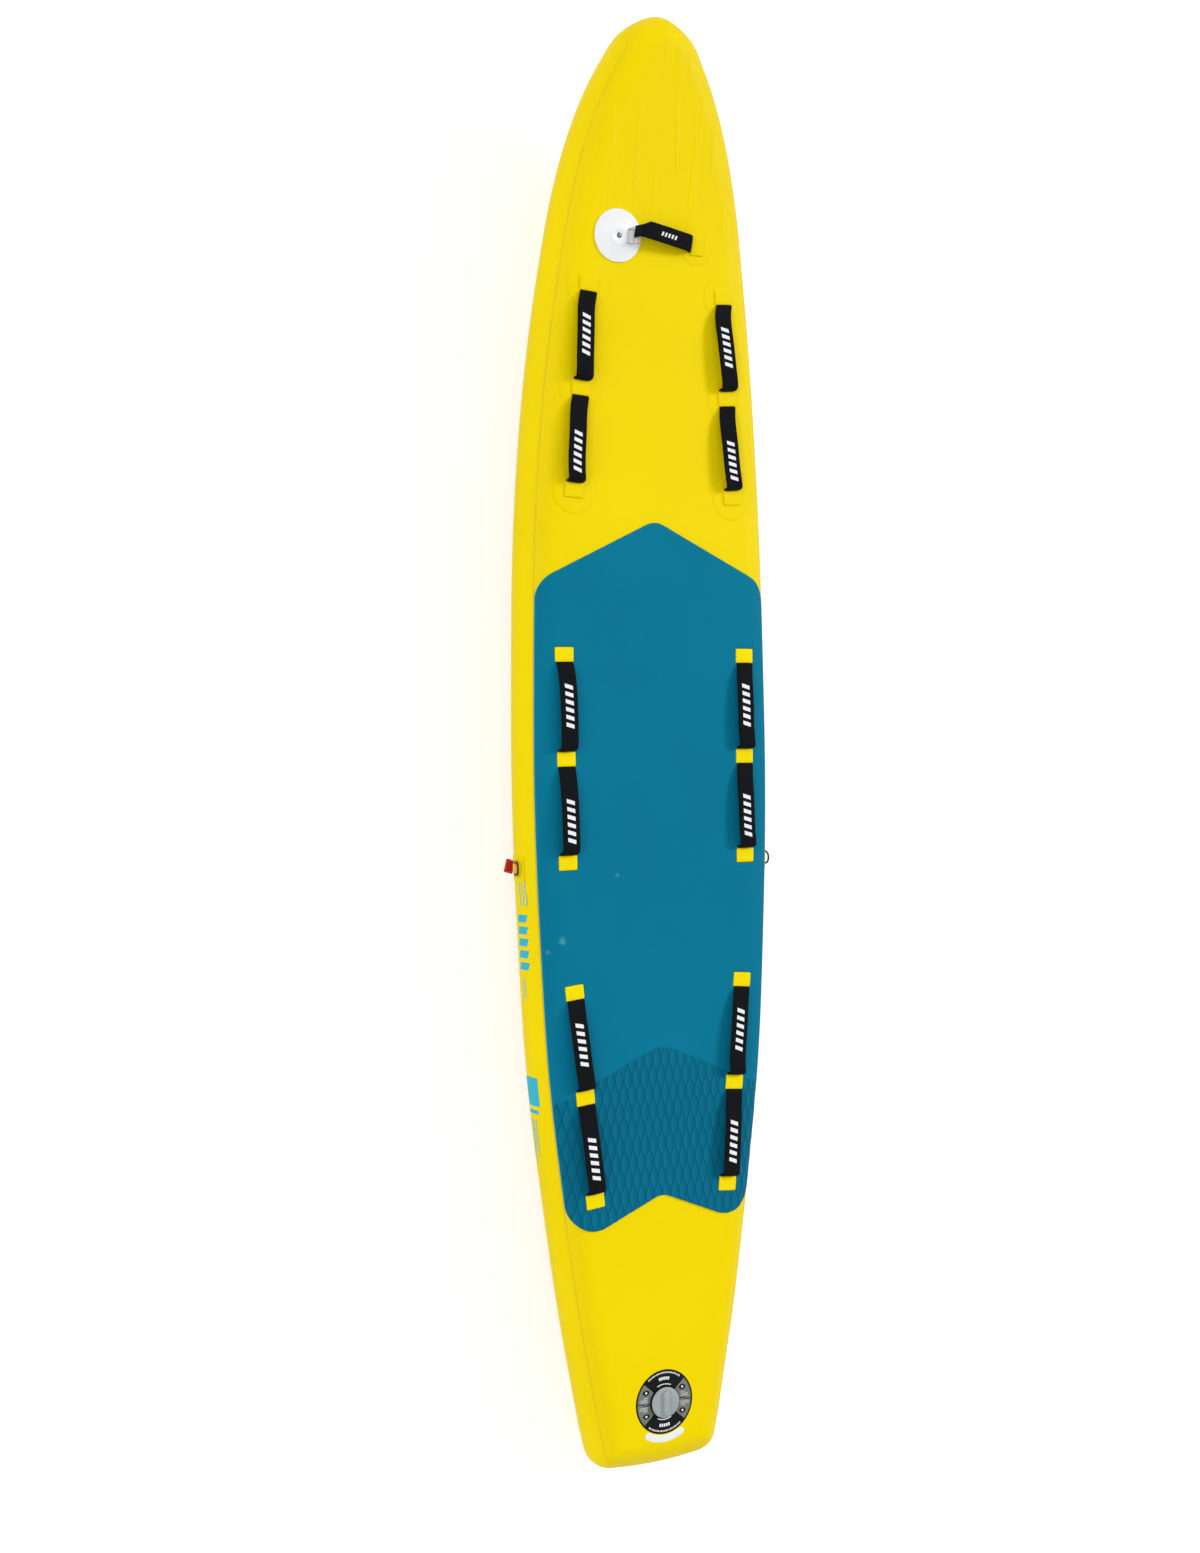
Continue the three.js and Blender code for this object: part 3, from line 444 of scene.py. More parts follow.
def lathe(profile, segments):
    """Closed or open turned surface about z, with its profile running from the bottom up outside."""
    profile = np.asarray(profile, float)
    a = np.arange(segments) * 2 * math.pi / segments
    verts = np.vstack([
        np.column_stack([r * np.cos(a), r * np.sin(a), np.full(segments, z)]) for r, z in profile])
    mesh = bmesh.new()
    made = [mesh.verts.new(v) for v in verts]
    for f in band_faces(len(profile), segments):
        mesh.faces.new([made[i] for i in f])
    bmesh.ops.remove_doubles(mesh, verts=mesh.verts, dist=1e-4)
    bmesh.ops.recalc_face_normals(mesh, faces=mesh.faces)
    mesh.verts.index_update()
    verts = np.array([v.co[:] for v in mesh.verts])
    faces = [tuple(v.index for v in f.verts) for f in mesh.faces]
    mesh.free()
    return verts, faces


def sweep(path, section, normals, closed):
    """Tube: a section of (side, out) pairs carried along a path; normals give the out direction."""
    n = len(path)
    before = np.roll(path, 1, axis=0)
    after = np.roll(path, -1, axis=0)
    if not closed:
        before[0] = path[0]
        after[-1] = path[-1]
    tangent = after - before
    tangent /= np.linalg.norm(tangent, axis=1)[:, None]
    side = np.cross(tangent, normals)
    side /= np.linalg.norm(side, axis=1)[:, None]
    out = np.cross(side, tangent)
    rings = [path[i] + np.outer(section[:, 0], side[i]) + np.outer(section[:, 1], out[i]) for i in range(n)]
    faces = band_faces(n, len(section), closed)
    if not closed:
        faces.extend(face[::-1] for face in end_faces(n, len(section)))
    return np.vstack(rings), faces


def merged(parts):
    """One (vertices, faces) pair from several."""
    verts, faces = [], []
    shift = 0
    for part in parts:
        verts.append(part[0])
        faces.extend(tuple(i + shift for i in face) for face in part[1])
        shift += len(part[0])
    return np.vstack(verts), faces


def moved(part, matrix):
    m = np.array(matrix)
    return part[0] @ m[:3, :3].T + m[:3, 3], part[1]


# Materials

def srgb(r, g, b):
    def channel(v):
        v /= 255
        return v / 12.92 if v <= 0.04045 else ((v + 0.055) / 1.055) ** 2.4
    return (channel(r), channel(g), channel(b), 1.0)


def feed(tree, value, socket):
    if isinstance(value, bpy.types.NodeSocket):
        tree.links.new(value, socket)
    else:
        socket.default_value = value


def add_node(tree, kind, *inputs, **settings):
    """New node whose first inputs are linked to sockets or set to values."""
    node = tree.nodes.new(kind)
    for key, value in settings.items():
        setattr(node, key, value)
    for value, socket in zip(inputs, node.inputs):
        feed(tree, value, socket)
    return node


class Finish:
    """A node material on the Principled shader, with helpers for pattern, colour and bump."""

    def __init__(self, name, colour, roughness, metallic=0.0, specular=0.5):
        self.material = bpy.data.materials.new(name)
        self.material.use_nodes = True
        self.tree = self.material.node_tree
        self.shader = self.tree.nodes["Principled BSDF"]
        self.shader.inputs["Base Color"].default_value = colour
        self.shader.inputs["Roughness"].default_value = roughness
        self.shader.inputs["Metallic"].default_value = metallic
        self.shader.inputs["Specular IOR Level"].default_value = specular
        self.height = None
        self.place = self.node("ShaderNodeTexCoord").outputs["Object"]

    def node(self, kind, *inputs, **settings):
        return add_node(self.tree, kind, *inputs, **settings)

    def link(self, source, target):
        self.tree.links.new(source, target)

    def math(self, operation, *values):
        return self.node("ShaderNodeMath", *values, operation=operation).outputs[0]

    def mapped(self, scale=(1, 1, 1), turn=0.0):
        node = self.node("ShaderNodeMapping", self.place)
        node.inputs["Scale"].default_value = scale
        node.inputs["Rotation"].default_value = (0, 0, turn)
        return node.outputs[0]

    def attribute(self, name):
        return self.node("ShaderNodeAttribute", attribute_name=name).outputs["Fac"]

    def noise(self, scale, detail=2.0, rough=0.5, source=None):
        node = self.node("ShaderNodeTexNoise", source or self.place)
        node.inputs["Scale"].default_value = scale
        node.inputs["Detail"].default_value = detail
        node.inputs["Roughness"].default_value = rough
        return node.outputs["Fac"]

    def wave(self, pitch, direction="X", source=None, distortion=0.0):
        """Sine bands one pitch apart, in metres, from 0 to 1."""
        node = self.node("ShaderNodeTexWave", source or self.place, wave_type="BANDS",
                         bands_direction=direction)
        node.inputs["Scale"].default_value = math.pi / 10 / pitch
        node.inputs["Distortion"].default_value = distortion
        return node.outputs["Fac"]

    def ramp(self, value, low, high):
        node = self.node("ShaderNodeMapRange", value, low, high, interpolation_type="SMOOTHSTEP")
        return node.outputs["Result"]

    def mix(self, factor, a, b):
        node = self.node("ShaderNodeMix", factor, data_type="RGBA")
        feed(self.tree, a, node.inputs[6])
        feed(self.tree, b, node.inputs[7])
        return node.outputs[2]

    def paint(self, colour):
        self.link(colour, self.shader.inputs["Base Color"])

    def mottle(self, pattern, low, high, colour, other):
        """Paints from one colour to the other as the pattern rises from low to high."""
        self.paint(self.mix(self.ramp(pattern, low, high), colour, other))

    def raise_by(self, value, distance):
        """Adds a bump of the value, at full height one distance in metres."""
        scaled = self.math("MULTIPLY", value, distance / MM)
        self.height = scaled if self.height is None else self.math("ADD", self.height, scaled)

    def done(self):
        if self.height is not None:
            bump = self.node("ShaderNodeBump")
            bump.inputs["Distance"].default_value = MM
            self.link(self.height, bump.inputs["Height"])
            self.link(bump.outputs[0], self.shader.inputs["Normal"])
        return self.material


def coated_fabric(name, colour, shade, roughness=0.42, drawn=False):
    f = Finish(name, colour, roughness, specular=0.06)
    grain = f.noise(900, 2.0, 0.6)
    cloud = f.noise(3.0, 2.0)
    tone = f.math("MULTIPLY_ADD", grain, 0.45, f.math("MULTIPLY", cloud, 0.5))
    f.mottle(tone, 0.25, 0.75, shade, colour)
    f.raise_by(f.wave(0.0011, "X"), 0.00004)
    f.raise_by(f.wave(0.0011, "Y"), 0.00004)
    f.raise_by(f.noise(55, 1.0), 0.00018)
    if drawn:
        streaks = f.noise(1.0, 1.0, 0.5, f.mapped((3, 38, 3)))
        split = f.node("ShaderNodeSeparateXYZ", f.place)
        nose = f.ramp(split.outputs["X"], 1.0, 1.4)
        f.raise_by(f.math("MULTIPLY", f.ramp(streaks, 0.5, 0.62), nose), 0.0012)
        slant = f.mapped(turn=math.radians(24))
        puckers = f.math("MULTIPLY", f.wave(0.034, "X", slant, 5.0), f.attribute("drawn"))
        f.raise_by(puckers, 0.0005)
    return f.done()


# Light scuffs on the pad, in metres: place and radius
SCUFFS = (
    ((-0.402, 0.240, 0.1463), 0.009),
    ((-0.426, 0.272, 0.1365), 0.006),
    ((-0.266, 0.104, 0.1467), 0.005),
)


def deck_foam(name, colour, light, groove):
    f = Finish(name, colour, 0.75, specular=0.08)
    grain = f.noise(1200, 2.0, 0.6)
    cloud = f.noise(4.0, 2.0)
    tone = f.math("MULTIPLY_ADD", grain, 0.4, f.math("MULTIPLY", cloud, 0.5))
    base = f.mix(f.ramp(tone, 0.25, 0.7), colour, light)
    for place, radius in SCUFFS:
        spot = f.node("ShaderNodeVectorMath", f.place, place, operation="DISTANCE")
        ragged = f.math("MULTIPLY_ADD", f.noise(160, 2.0, 0.7), 0.012, spot.outputs["Value"])
        wear = f.math("MULTIPLY", f.ramp(ragged, radius + 0.008, radius), 0.4)
        base = f.mix(wear, base, srgb(110, 176, 190))
    # The groove attribute paints shade into the tread with the third colour. The whole tread is a little
    # darker than the smooth pad, and each cell is darker towards its starboard side. The lines between cells
    # are darker still, partly the real grooves and partly painted shade.
    f.paint(f.mix(f.attribute("groove"), base, groove))
    f.raise_by(f.wave(0.0042, "X", f.mapped(turn=math.radians(70))), 0.00008)
    f.raise_by(f.wave(0.0042, "Y", f.mapped(turn=math.radians(70))), 0.00003)
    f.raise_by(grain, 0.00008)
    return f.done()


def webbing(name, colour, light):
    f = Finish(name, colour, 0.85, specular=0.08)
    uv = f.node("ShaderNodeTexCoord").outputs["UV"]
    f.raise_by(f.wave(0.0016, "X", uv), 0.00016)
    f.raise_by(f.wave(0.0012, "Y", uv), 0.00016)
    grain = f.noise(700, 2.0, 0.6)
    f.raise_by(f.noise(60, 1.0), 0.0003)
    f.mottle(grain, 0.35, 0.75, colour, light)
    return f.done()


def moulding(name, colour, shade, roughness, grain=0.00003):
    f = Finish(name, colour, roughness)
    f.mottle(f.noise(18, 3.0), 0.35, 0.7, colour, shade)
    f.raise_by(f.noise(1500, 2.0), grain)
    return f.done()


def metal(name, colour):
    f = Finish(name, colour, 0.32, metallic=1.0)
    f.raise_by(f.noise(900, 2.0), 0.00003)
    f.mottle(f.noise(60, 2.0), 0.35, 0.7, colour, tuple(c * 0.8 for c in colour[:3]) + (1,))
    return f.done()


def cloth(name, colour, shade, pitch=0.0009):
    f = Finish(name, colour, 0.75, specular=0.2)
    for direction in "XZY":
        f.raise_by(f.wave(pitch, direction), 0.0001)
    f.mottle(f.noise(400, 2.0), 0.3, 0.7, colour, shade)
    return f.done()


def ink(name, colour, shade):
    f = Finish(name, colour, 0.55, specular=0.15)
    f.mottle(f.noise(900, 2.0), 0.4, 0.8, colour, shade)
    f.raise_by(f.noise(900, 1.0), 0.00002)
    return f.done()


YELLOW = coated_fabric("yellow_coated_fabric", srgb(250, 223, 0), srgb(243, 215, 0))
DECK_YELLOW = coated_fabric("deck_coated_fabric", srgb(250, 223, 0), srgb(243, 215, 0), drawn=True)
TAB_YELLOW = coated_fabric("tab_coated_fabric", srgb(254, 230, 4), srgb(248, 222, 0), 0.4)
PATCH_YELLOW = coated_fabric("patch_coated_fabric", srgb(249, 222, 0), srgb(242, 214, 0), 0.45)
PALE_ORANGE = coated_fabric("ring_loop_fabric", srgb(252, 196, 104), srgb(246, 176, 74), 0.5)
GLUE = moulding("seam_glue", srgb(246, 216, 2), srgb(240, 208, 2), 0.5)
# The last colour is the painted shade of the tread and of the lines between its cells.
FOAM = deck_foam("teal_deck_foam", srgb(0, 115, 146), srgb(0, 122, 154), srgb(0, 80, 108))
FOAM_EDGE = moulding("foam_cut_edge", srgb(34, 142, 164), srgb(22, 132, 156), 0.8, 0.0001)
WEBBING = webbing("black_webbing", srgb(13, 14, 17), srgb(28, 29, 33))
WHITE_INK = ink("white_print", srgb(240, 243, 245), srgb(232, 236, 239))
BLUE_INK = ink("light_blue_print", srgb(52, 182, 206), srgb(70, 192, 212))
BLACK_INK = ink("black_print", srgb(15, 18, 18), srgb(24, 27, 27))
GREY_INK = ink("grey_print", srgb(118, 120, 116), srgb(132, 134, 130))
PALE_INK = ink("pale_grey_print", srgb(196, 202, 198), srgb(184, 190, 186))
WHITE = moulding("white_moulding", srgb(246, 248, 250), srgb(240, 243, 246), 0.38)
GREY = moulding("grey_moulding", srgb(162, 170, 170), srgb(153, 161, 161), 0.42)
BLACK = moulding("black_moulding", srgb(17, 18, 20), srgb(27, 28, 31), 0.45)
RUBBER = moulding("seal_rubber", srgb(28, 28, 29), srgb(40, 40, 41), 0.7)
RED = cloth("red_cloth", srgb(200, 38, 44), srgb(178, 26, 34))
THREAD = cloth("pale_thread", srgb(226, 214, 200), srgb(206, 190, 176), 0.0006)
STEEL = metal("steel", srgb(170, 174, 178))
CORE = cloth("drop_stitch_fabric", srgb(217, 214, 200), srgb(200, 196, 182), 0.0015)


# Shell: deck and hull skins and the band that wraps the rail

def angles_between(a, b, step):
    count = max(1, int(math.ceil(abs(b - a) / step)))
    return [a + (b - a) * k / count for k in range(count + 1)]


VALVE_X = from_tail(155.0)
VALVE_HOLE_RADIUS = 20.6
SKIN_EDGE = 22
SKIN_STEP = 4
PUCKER_ANGLE = 70
PUCKER_SPREAD = 12


def open_valve_hole(verts, faces, count):
    """Opens the valve's hole through both flat caps of the deck skin and walls it between them."""
    hole = circle(VALVE_X, 0, VALVE_HOLE_RADIUS)
    steps = len(hole)
    half = count // 2
    kept = faces[:-2 * half]
    rims = []
    for strips, up in ((faces[-2 * half:-half], True), (faces[-half:], False)):
        crossed = []
        for strip in strips:
            x = verts[list(strip), 0]
            meets = x.min() < hole[:, 0].max() and x.max() > hole[:, 0].min()
            (crossed if meets else kept).append(strip)
        border = sorted({i for strip in crossed for i in strip})
        plan = verts[border, :2]
        start = len(verts)
        index = border + list(range(start, start + steps))
        edges = closed_edges(0, len(border)) + closed_edges(len(border), steps)
        for triangle in region_faces(np.vstack([plan, hole]), edges, plan, [hole]):
            face = tuple(index[i] for i in triangle)
            kept.append(face if up else face[::-1])
        rims.append(start)
        verts = np.vstack([verts, np.column_stack([hole, np.full(steps, verts[border[0], 2])])])
    top, low = rims
    kept.extend((i, j, j + low - top, i + low - top) for i, j in closed_edges(top, steps))
    return verts, kept


def make_shell():
    skin_inner = SKIN_RADIUS - SKIN_THICKNESS
    up = angles_between(90, SKIN_EDGE, SKIN_STEP)
    rings = [rail_ring(SKIN_RADIUS, a) for a in up] + [rail_ring(skin_inner, a) for a in up[::-1]]
    verts, faces = open_valve_hole(*loft(rings, False, True), len(rings[0]))
    skin = new_object("deck_skin_cloth", verts, faces, [DECK_YELLOW])
    drawn = [math.exp(-((a - PUCKER_ANGLE) / PUCKER_SPREAD) ** 2) for a in up]
    on_rings = np.repeat(drawn + drawn[::-1], len(rings[0]))
    add_attribute(skin, "drawn", np.append(on_rings, np.full(len(verts) - len(on_rings), drawn[0])))
    fit(skin, "board", "coated_fabric", "deck_skin")
    down = angles_between(-SKIN_EDGE, -90, SKIN_STEP)
    rings = [rail_ring(skin_inner, a) for a in down[::-1]] + [rail_ring(SKIN_RADIUS, a) for a in down]
    add_cloth("hull_skin_cloth", loft(rings, False, True), YELLOW, "hull_skin")
    outer = [(BAND_INNER + 0.2, 44.0), (BAND_LAP - 0.2, 43.9), (BAND_LAP, 43.6)]
    outer += [(BAND_LAP, a) for a in (40, 36, 32, 29)]
    outer += [(BAND_LAP + 0.12, 26), (BAND_RADIUS - 0.12, 22), (BAND_RADIUS, 19)]
    outer += [(BAND_RADIUS, a) for a in (15, 11, 7, 3.5, 0)]
    outer += [(r, -a) for r, a in outer[-2::-1]]
    inner = [(BAND_INNER, a) for a in angles_between(-44, 44, 5.5)]
    rings = [rail_ring(r, a) for r, a in outer + inner]
    add_cloth("rail_band_cloth", loft(rings, True, False), YELLOW, "rail_band", sharp=50)
    parts = []
    for sign in (1, -1):
        profile = [(SKIN_RADIUS + 0.05, 44.1), (SKIN_RADIUS + 0.6, 44.2), (SKIN_RADIUS + 0.35, 44.7),
                   (SKIN_RADIUS + 0.05, 45.3)]
        rings = [rail_ring(r, sign * a) for r, a in profile]
        parts.append(loft(rings[::sign], True, False))
    add_cloth("seam_glue_lines", merged(parts), GLUE)


# Deck pad

PAD_AHEAD_OF_STRAPS = 159.0
PAD_APEX_REACH = 137.0
PAD_BEHIND_STRAPS = 95.0
PAD_NOTCH_REACH = 92.0
PAD_CORNER_RADIUS = 66.0
PAD_APEX_RADIUS = 46.0
PAD_EDGE_ANGLE = 47.0
TREAD_APEX = from_tail(960.0)
TREAD_SLOPE = 0.45
TREAD_ROUND = 22.0
CELL_PITCH = 21.0
CELL_ROW = 37.5
CELL_LEAST = 0.5
BOWL_DEPTH = 1.2
CELL_COLUMNS = (-1, -0.83, -0.5, 0, 0.5, 0.83, 1)
STEPS_PER_ROW = 18
GROOVE_DEPTH = 0.3
GROOVE_WIDTH = 3.6


def row_anchors(row, side):
    return np.array([(from_tail(a * LENGTH), side * b * HALF_WIDTH) for a, b in STRAP_ROWS[row]])


def row_turn(anchors):
    run = anchors[0] - anchors[-1]
    return math.atan2(run[1], run[0])


def rounded_polygon(corners, steps):
    points = []
    n = len(corners)
    for k, (at, radius) in enumerate(corners):
        at = np.array(at, float)
        if not radius:
            points.append(at)
            continue
        back = np.array(corners[k - 1][0], float) - at
        ahead = np.array(corners[(k + 1) % n][0], float) - at
        back /= np.linalg.norm(back)
        ahead /= np.linalg.norm(ahead)
        half = math.acos(np.clip(back @ ahead, -1, 1)) / 2
        bisector = back + ahead
        bisector /= np.linalg.norm(bisector)
        centre = at + bisector * radius / math.sin(half)
        first = at + back * radius / math.tan(half) - centre
        last = at + ahead * radius / math.tan(half) - centre
        turn = math.atan2(first[0] * last[1] - first[1] * last[0], first @ last)
        for step in range(steps + 1):
            a = turn * step / steps
            c, s = math.cos(a), math.sin(a)
            points.append(centre + np.array([first[0] * c - first[1] * s, first[0] * s + first[1] * c]))
    return np.array(points)


def pad_outline():
    inset = BAND_RADIUS - (SKIN_RADIUS + 2.5) * math.cos(math.radians(PAD_EDGE_ANGLE))
    side = half_outline(inset)
    side = side[np.argsort(-side[:, 0])]
    shoulder = row_anchors("mid", 1)[0][0] + PAD_AHEAD_OF_STRAPS
    lobe = row_anchors("rear", 1)[-1][0] - PAD_BEHIND_STRAPS
    reach = PAD_CORNER_RADIUS * 1.5

    def width_at(x):
        return float(np.interp(-x, -side[:, 0], side[:, 1]))

    middle = [p for p in side if min(shoulder - p[0], p[0] - lobe) > reach]
    port = [((shoulder, width_at(shoulder)), PAD_CORNER_RADIUS)]
    port += [(tuple(p), 0) for p in middle]
    port += [((lobe, width_at(lobe)), PAD_CORNER_RADIUS)]
    starboard = [((p[0], -p[1]), r) for p, r in port[::-1]]
    corners = [((shoulder + PAD_APEX_REACH, 0), PAD_APEX_RADIUS)] + port
    corners += [((lobe + PAD_NOTCH_REACH, 0), PAD_APEX_RADIUS)] + starboard
    return rounded_polygon(corners, 12)


def cell_half(x):
    """Half width at x of the cells that lie on whole pitches; the others fill what is left."""
    half = CELL_PITCH / 4 * (1 + np.cos(math.pi * (x - TREAD_APEX) / CELL_ROW))
    return np.clip(half, CELL_LEAST, CELL_PITCH / 2 - CELL_LEAST)


def tread_cells(points):
    """Depth of the scooped cells, share of the fine line between them and side of the cell, at each point.

    Neighbouring wavy lines meet at every row, so the cells between them are lenses in shifted rows.
    The side runs from -1 at a cell's starboard line to 1 at its port line.
    """
    half = cell_half(points[:, 0])
    off = points[:, 1] - CELL_PITCH * np.round(points[:, 1] / CELL_PITCH)
    on_pitch = np.abs(off) < half
    width = np.where(on_pitch, half, CELL_PITCH / 2 - half)
    side = np.where(on_pitch, off, off - np.sign(off) * CELL_PITCH / 2) / width
    share = np.abs(side)
    bowl = BOWL_DEPTH * (1 - share ** 2) * width / (CELL_PITCH / 2)
    return bowl, smoothstep(1 - (1 - share) * width / (GROOVE_WIDTH / 2)), side


def tread_front(y):
    return TREAD_APEX - TREAD_SLOPE * np.sqrt(y ** 2 + TREAD_ROUND ** 2)


def tread_mask(points):
    return smoothstep((tread_front(points[:, 1]) - points[:, 0]) / 4.0)


def make_pad():
    outer = resample(pad_outline(), 9.0)
    holes = []
    window = rounded_box(TAB_LENGTH + 2 * TAB_ROOM, TAB_WIDTH + 2 * TAB_ROOM, TAB_CORNER)
    for _, side in SIDES:
        for row in ("mid", "rear"):
            anchors = row_anchors(row, side)
            turn = row_turn(anchors)
            holes.extend(resample(placed(window, *at, turn), 8.0)[::-1] for at in anchors)
    cell_x = CELL_ROW / STEPS_PER_ROW
    first = TREAD_APEX - cell_x * math.floor((TREAD_APEX - outer[:, 0].min()) / cell_x)
    gx = np.arange(first, TREAD_APEX, cell_x)[:, None]
    half = cell_half(gx)
    columns = []
    reach = math.ceil(outer[:, 1].max() / CELL_PITCH)
    for k in range(-reach, reach + 1):
        columns.extend(k * CELL_PITCH + half * t for t in CELL_COLUMNS)
        columns.extend((k + 0.5) * CELL_PITCH + (CELL_PITCH / 2 - half) * t for t in CELL_COLUMNS[1:-1])
    gy = np.hstack(columns)
    fine = np.stack([np.broadcast_to(gx, gy.shape), gy], -1).reshape(-1, 2)
    fine = fine[fine[:, 0] < tread_front(fine[:, 1]) + 3]

    def in_tread(points):
        return points[:, 0] < tread_front(points[:, 1]) + 7

    def relief(points):
        bowl, line, _ = tread_cells(points)
        return (bowl + GROOVE_DEPTH * line) * tread_mask(points)

    verts, faces, tops = deck_slab(
        outer, CLEARANCE, PAD_THICKNESS, 10.0, holes, relief,
        bevel=((0, 1.3), (0.5, 0.4), (1.5, 0.0)), extra=(fine, in_tread))
    indices = [0] * tops + [1] * (len(faces) - tops)
    pad = new_object("deck_pad_foam", verts, faces, [FOAM, FOAM_EDGE], indices)
    # Painted shade of the tread, stored in the groove attribute. There is a little over the whole tread and
    # more towards each cell's starboard side. It is strongest along the lines between the cells, where the
    # real grooves lie.
    _, line, side = tread_cells(verts[:, :2])
    turned = np.clip((0.45 - side) / 1.45, 0, 1)
    shade = np.clip(0.2 + 0.42 * turned + 0.55 * line, 0, 1) * tread_mask(verts[:, :2])
    add_attribute(pad, "groove", shade)
    fit(pad, "board", "deck_foam", "deck_pad")


# Straps, their tabs and patches

THIN_TAB = 2.6
THIN_PATCH = 0.8
PATCH_BEVEL = ((0, 0.6), (1.2, 0.36), (2.8, 0.12), (4.6, 0))


def tab_part(x, y, turn, low, thickness):
    ring = resample(placed(rounded_box(TAB_LENGTH, TAB_WIDTH, TAB_CORNER, 4), x, y, turn), 6.0)
    c, s = math.cos(turn), math.sin(turn)

    def top(points):
        u = (points[:, 0] - x) * c + (points[:, 1] - y) * s
        v = -(points[:, 0] - x) * s + (points[:, 1] - y) * c
        fall = 0.9 * np.clip((np.abs(u) / (TAB_LENGTH / 2)) ** 6, 0, 1)
        fold = 0.25 * np.exp(-((np.abs(v) - (TAB_WIDTH / 2 - 5)) / 0.9) ** 2)
        return deck_z(points, low + thickness - fall - fold)

    return slab(ring, [], top, lambda p: deck_z(p, low), 4.0, bevel=((0, 0.9), (0.35, 0.3), (1.0, 0.0)))


def round_patch(x, y, radius):
    return deck_slab(circle(x, y, radius, 64), CLEARANCE, THIN_PATCH, 9.0, bevel=PATCH_BEVEL)


def make_tabs():
    for side_name, side in SIDES:
        for row in STRAP_ROWS:
            anchors = row_anchors(row, side)
            turn = row_turn(anchors)
            on_patch = row == "front"
            low = PATCH_THICKNESS + 2 * CLEARANCE if on_patch else CLEARANCE
            thickness = THIN_TAB if on_patch else TAB_THICKNESS
            for index, at in enumerate(anchors):
                label = f"{side_name}_{row}_{index + 1}"
                tab = tab_part(*at, turn, low, thickness)
                finish = PATCH_YELLOW if on_patch else TAB_YELLOW
                add_cloth(f"strap_tab_cover_{label}", tab, finish, f"strap_tab_{label}")
                if on_patch:
                    patch = round_patch(*at, STRAP_PATCH_RADIUS)
                    add_cloth(f"strap_round_patch_{label}", patch, PATCH_YELLOW, f"strap_patch_{label}")


ARCH_SHARES = ((-1, 0), (-0.985, 0.5), (-0.95, 0.85), (-0.84, 0.99), (-0.5, 1), (-0.1, 0.96),
               (0.25, 0.87), (0.55, 0.68), (0.8, 0.42), (0.93, 0.2), (1, 0))
NOSE_SHARES = ((-1, 0), (-0.985, 0.2), (-0.9, 0.34), (-0.6, 0.5), (-0.2, 0.68), (0.2, 0.84),
               (0.5, 0.95), (0.76, 1), (0.92, 0.88), (0.99, 0.5), (1, 0))
SECTION_STEPS = 28


def strap_section(width, thickness):
    """Padded sleeve: crowned between two stitched edges. Returns side and out offsets, closed."""
    side = np.linspace(-1, 1, SECTION_STEPS + 1)
    swell = 1 - 0.28 * np.abs(side) ** 3
    groove = 0.14 * np.exp(-((np.abs(side) - 0.84) / 0.045) ** 2)
    edge = np.sqrt(np.clip(1 - np.clip((np.abs(side) - 0.93) / 0.07, 0, 1) ** 2, 0.0, 1))
    out = thickness / 2 * (swell - groove) * (0.25 + 0.75 * edge)
    top = np.column_stack([side * width / 2, out])
    low = np.column_stack([side[::-1] * width / 2, -out[::-1]])
    return np.vstack([top, low])


def joint_of(name):
    return next(j for j in frame["joints"] if j["name"] == name)


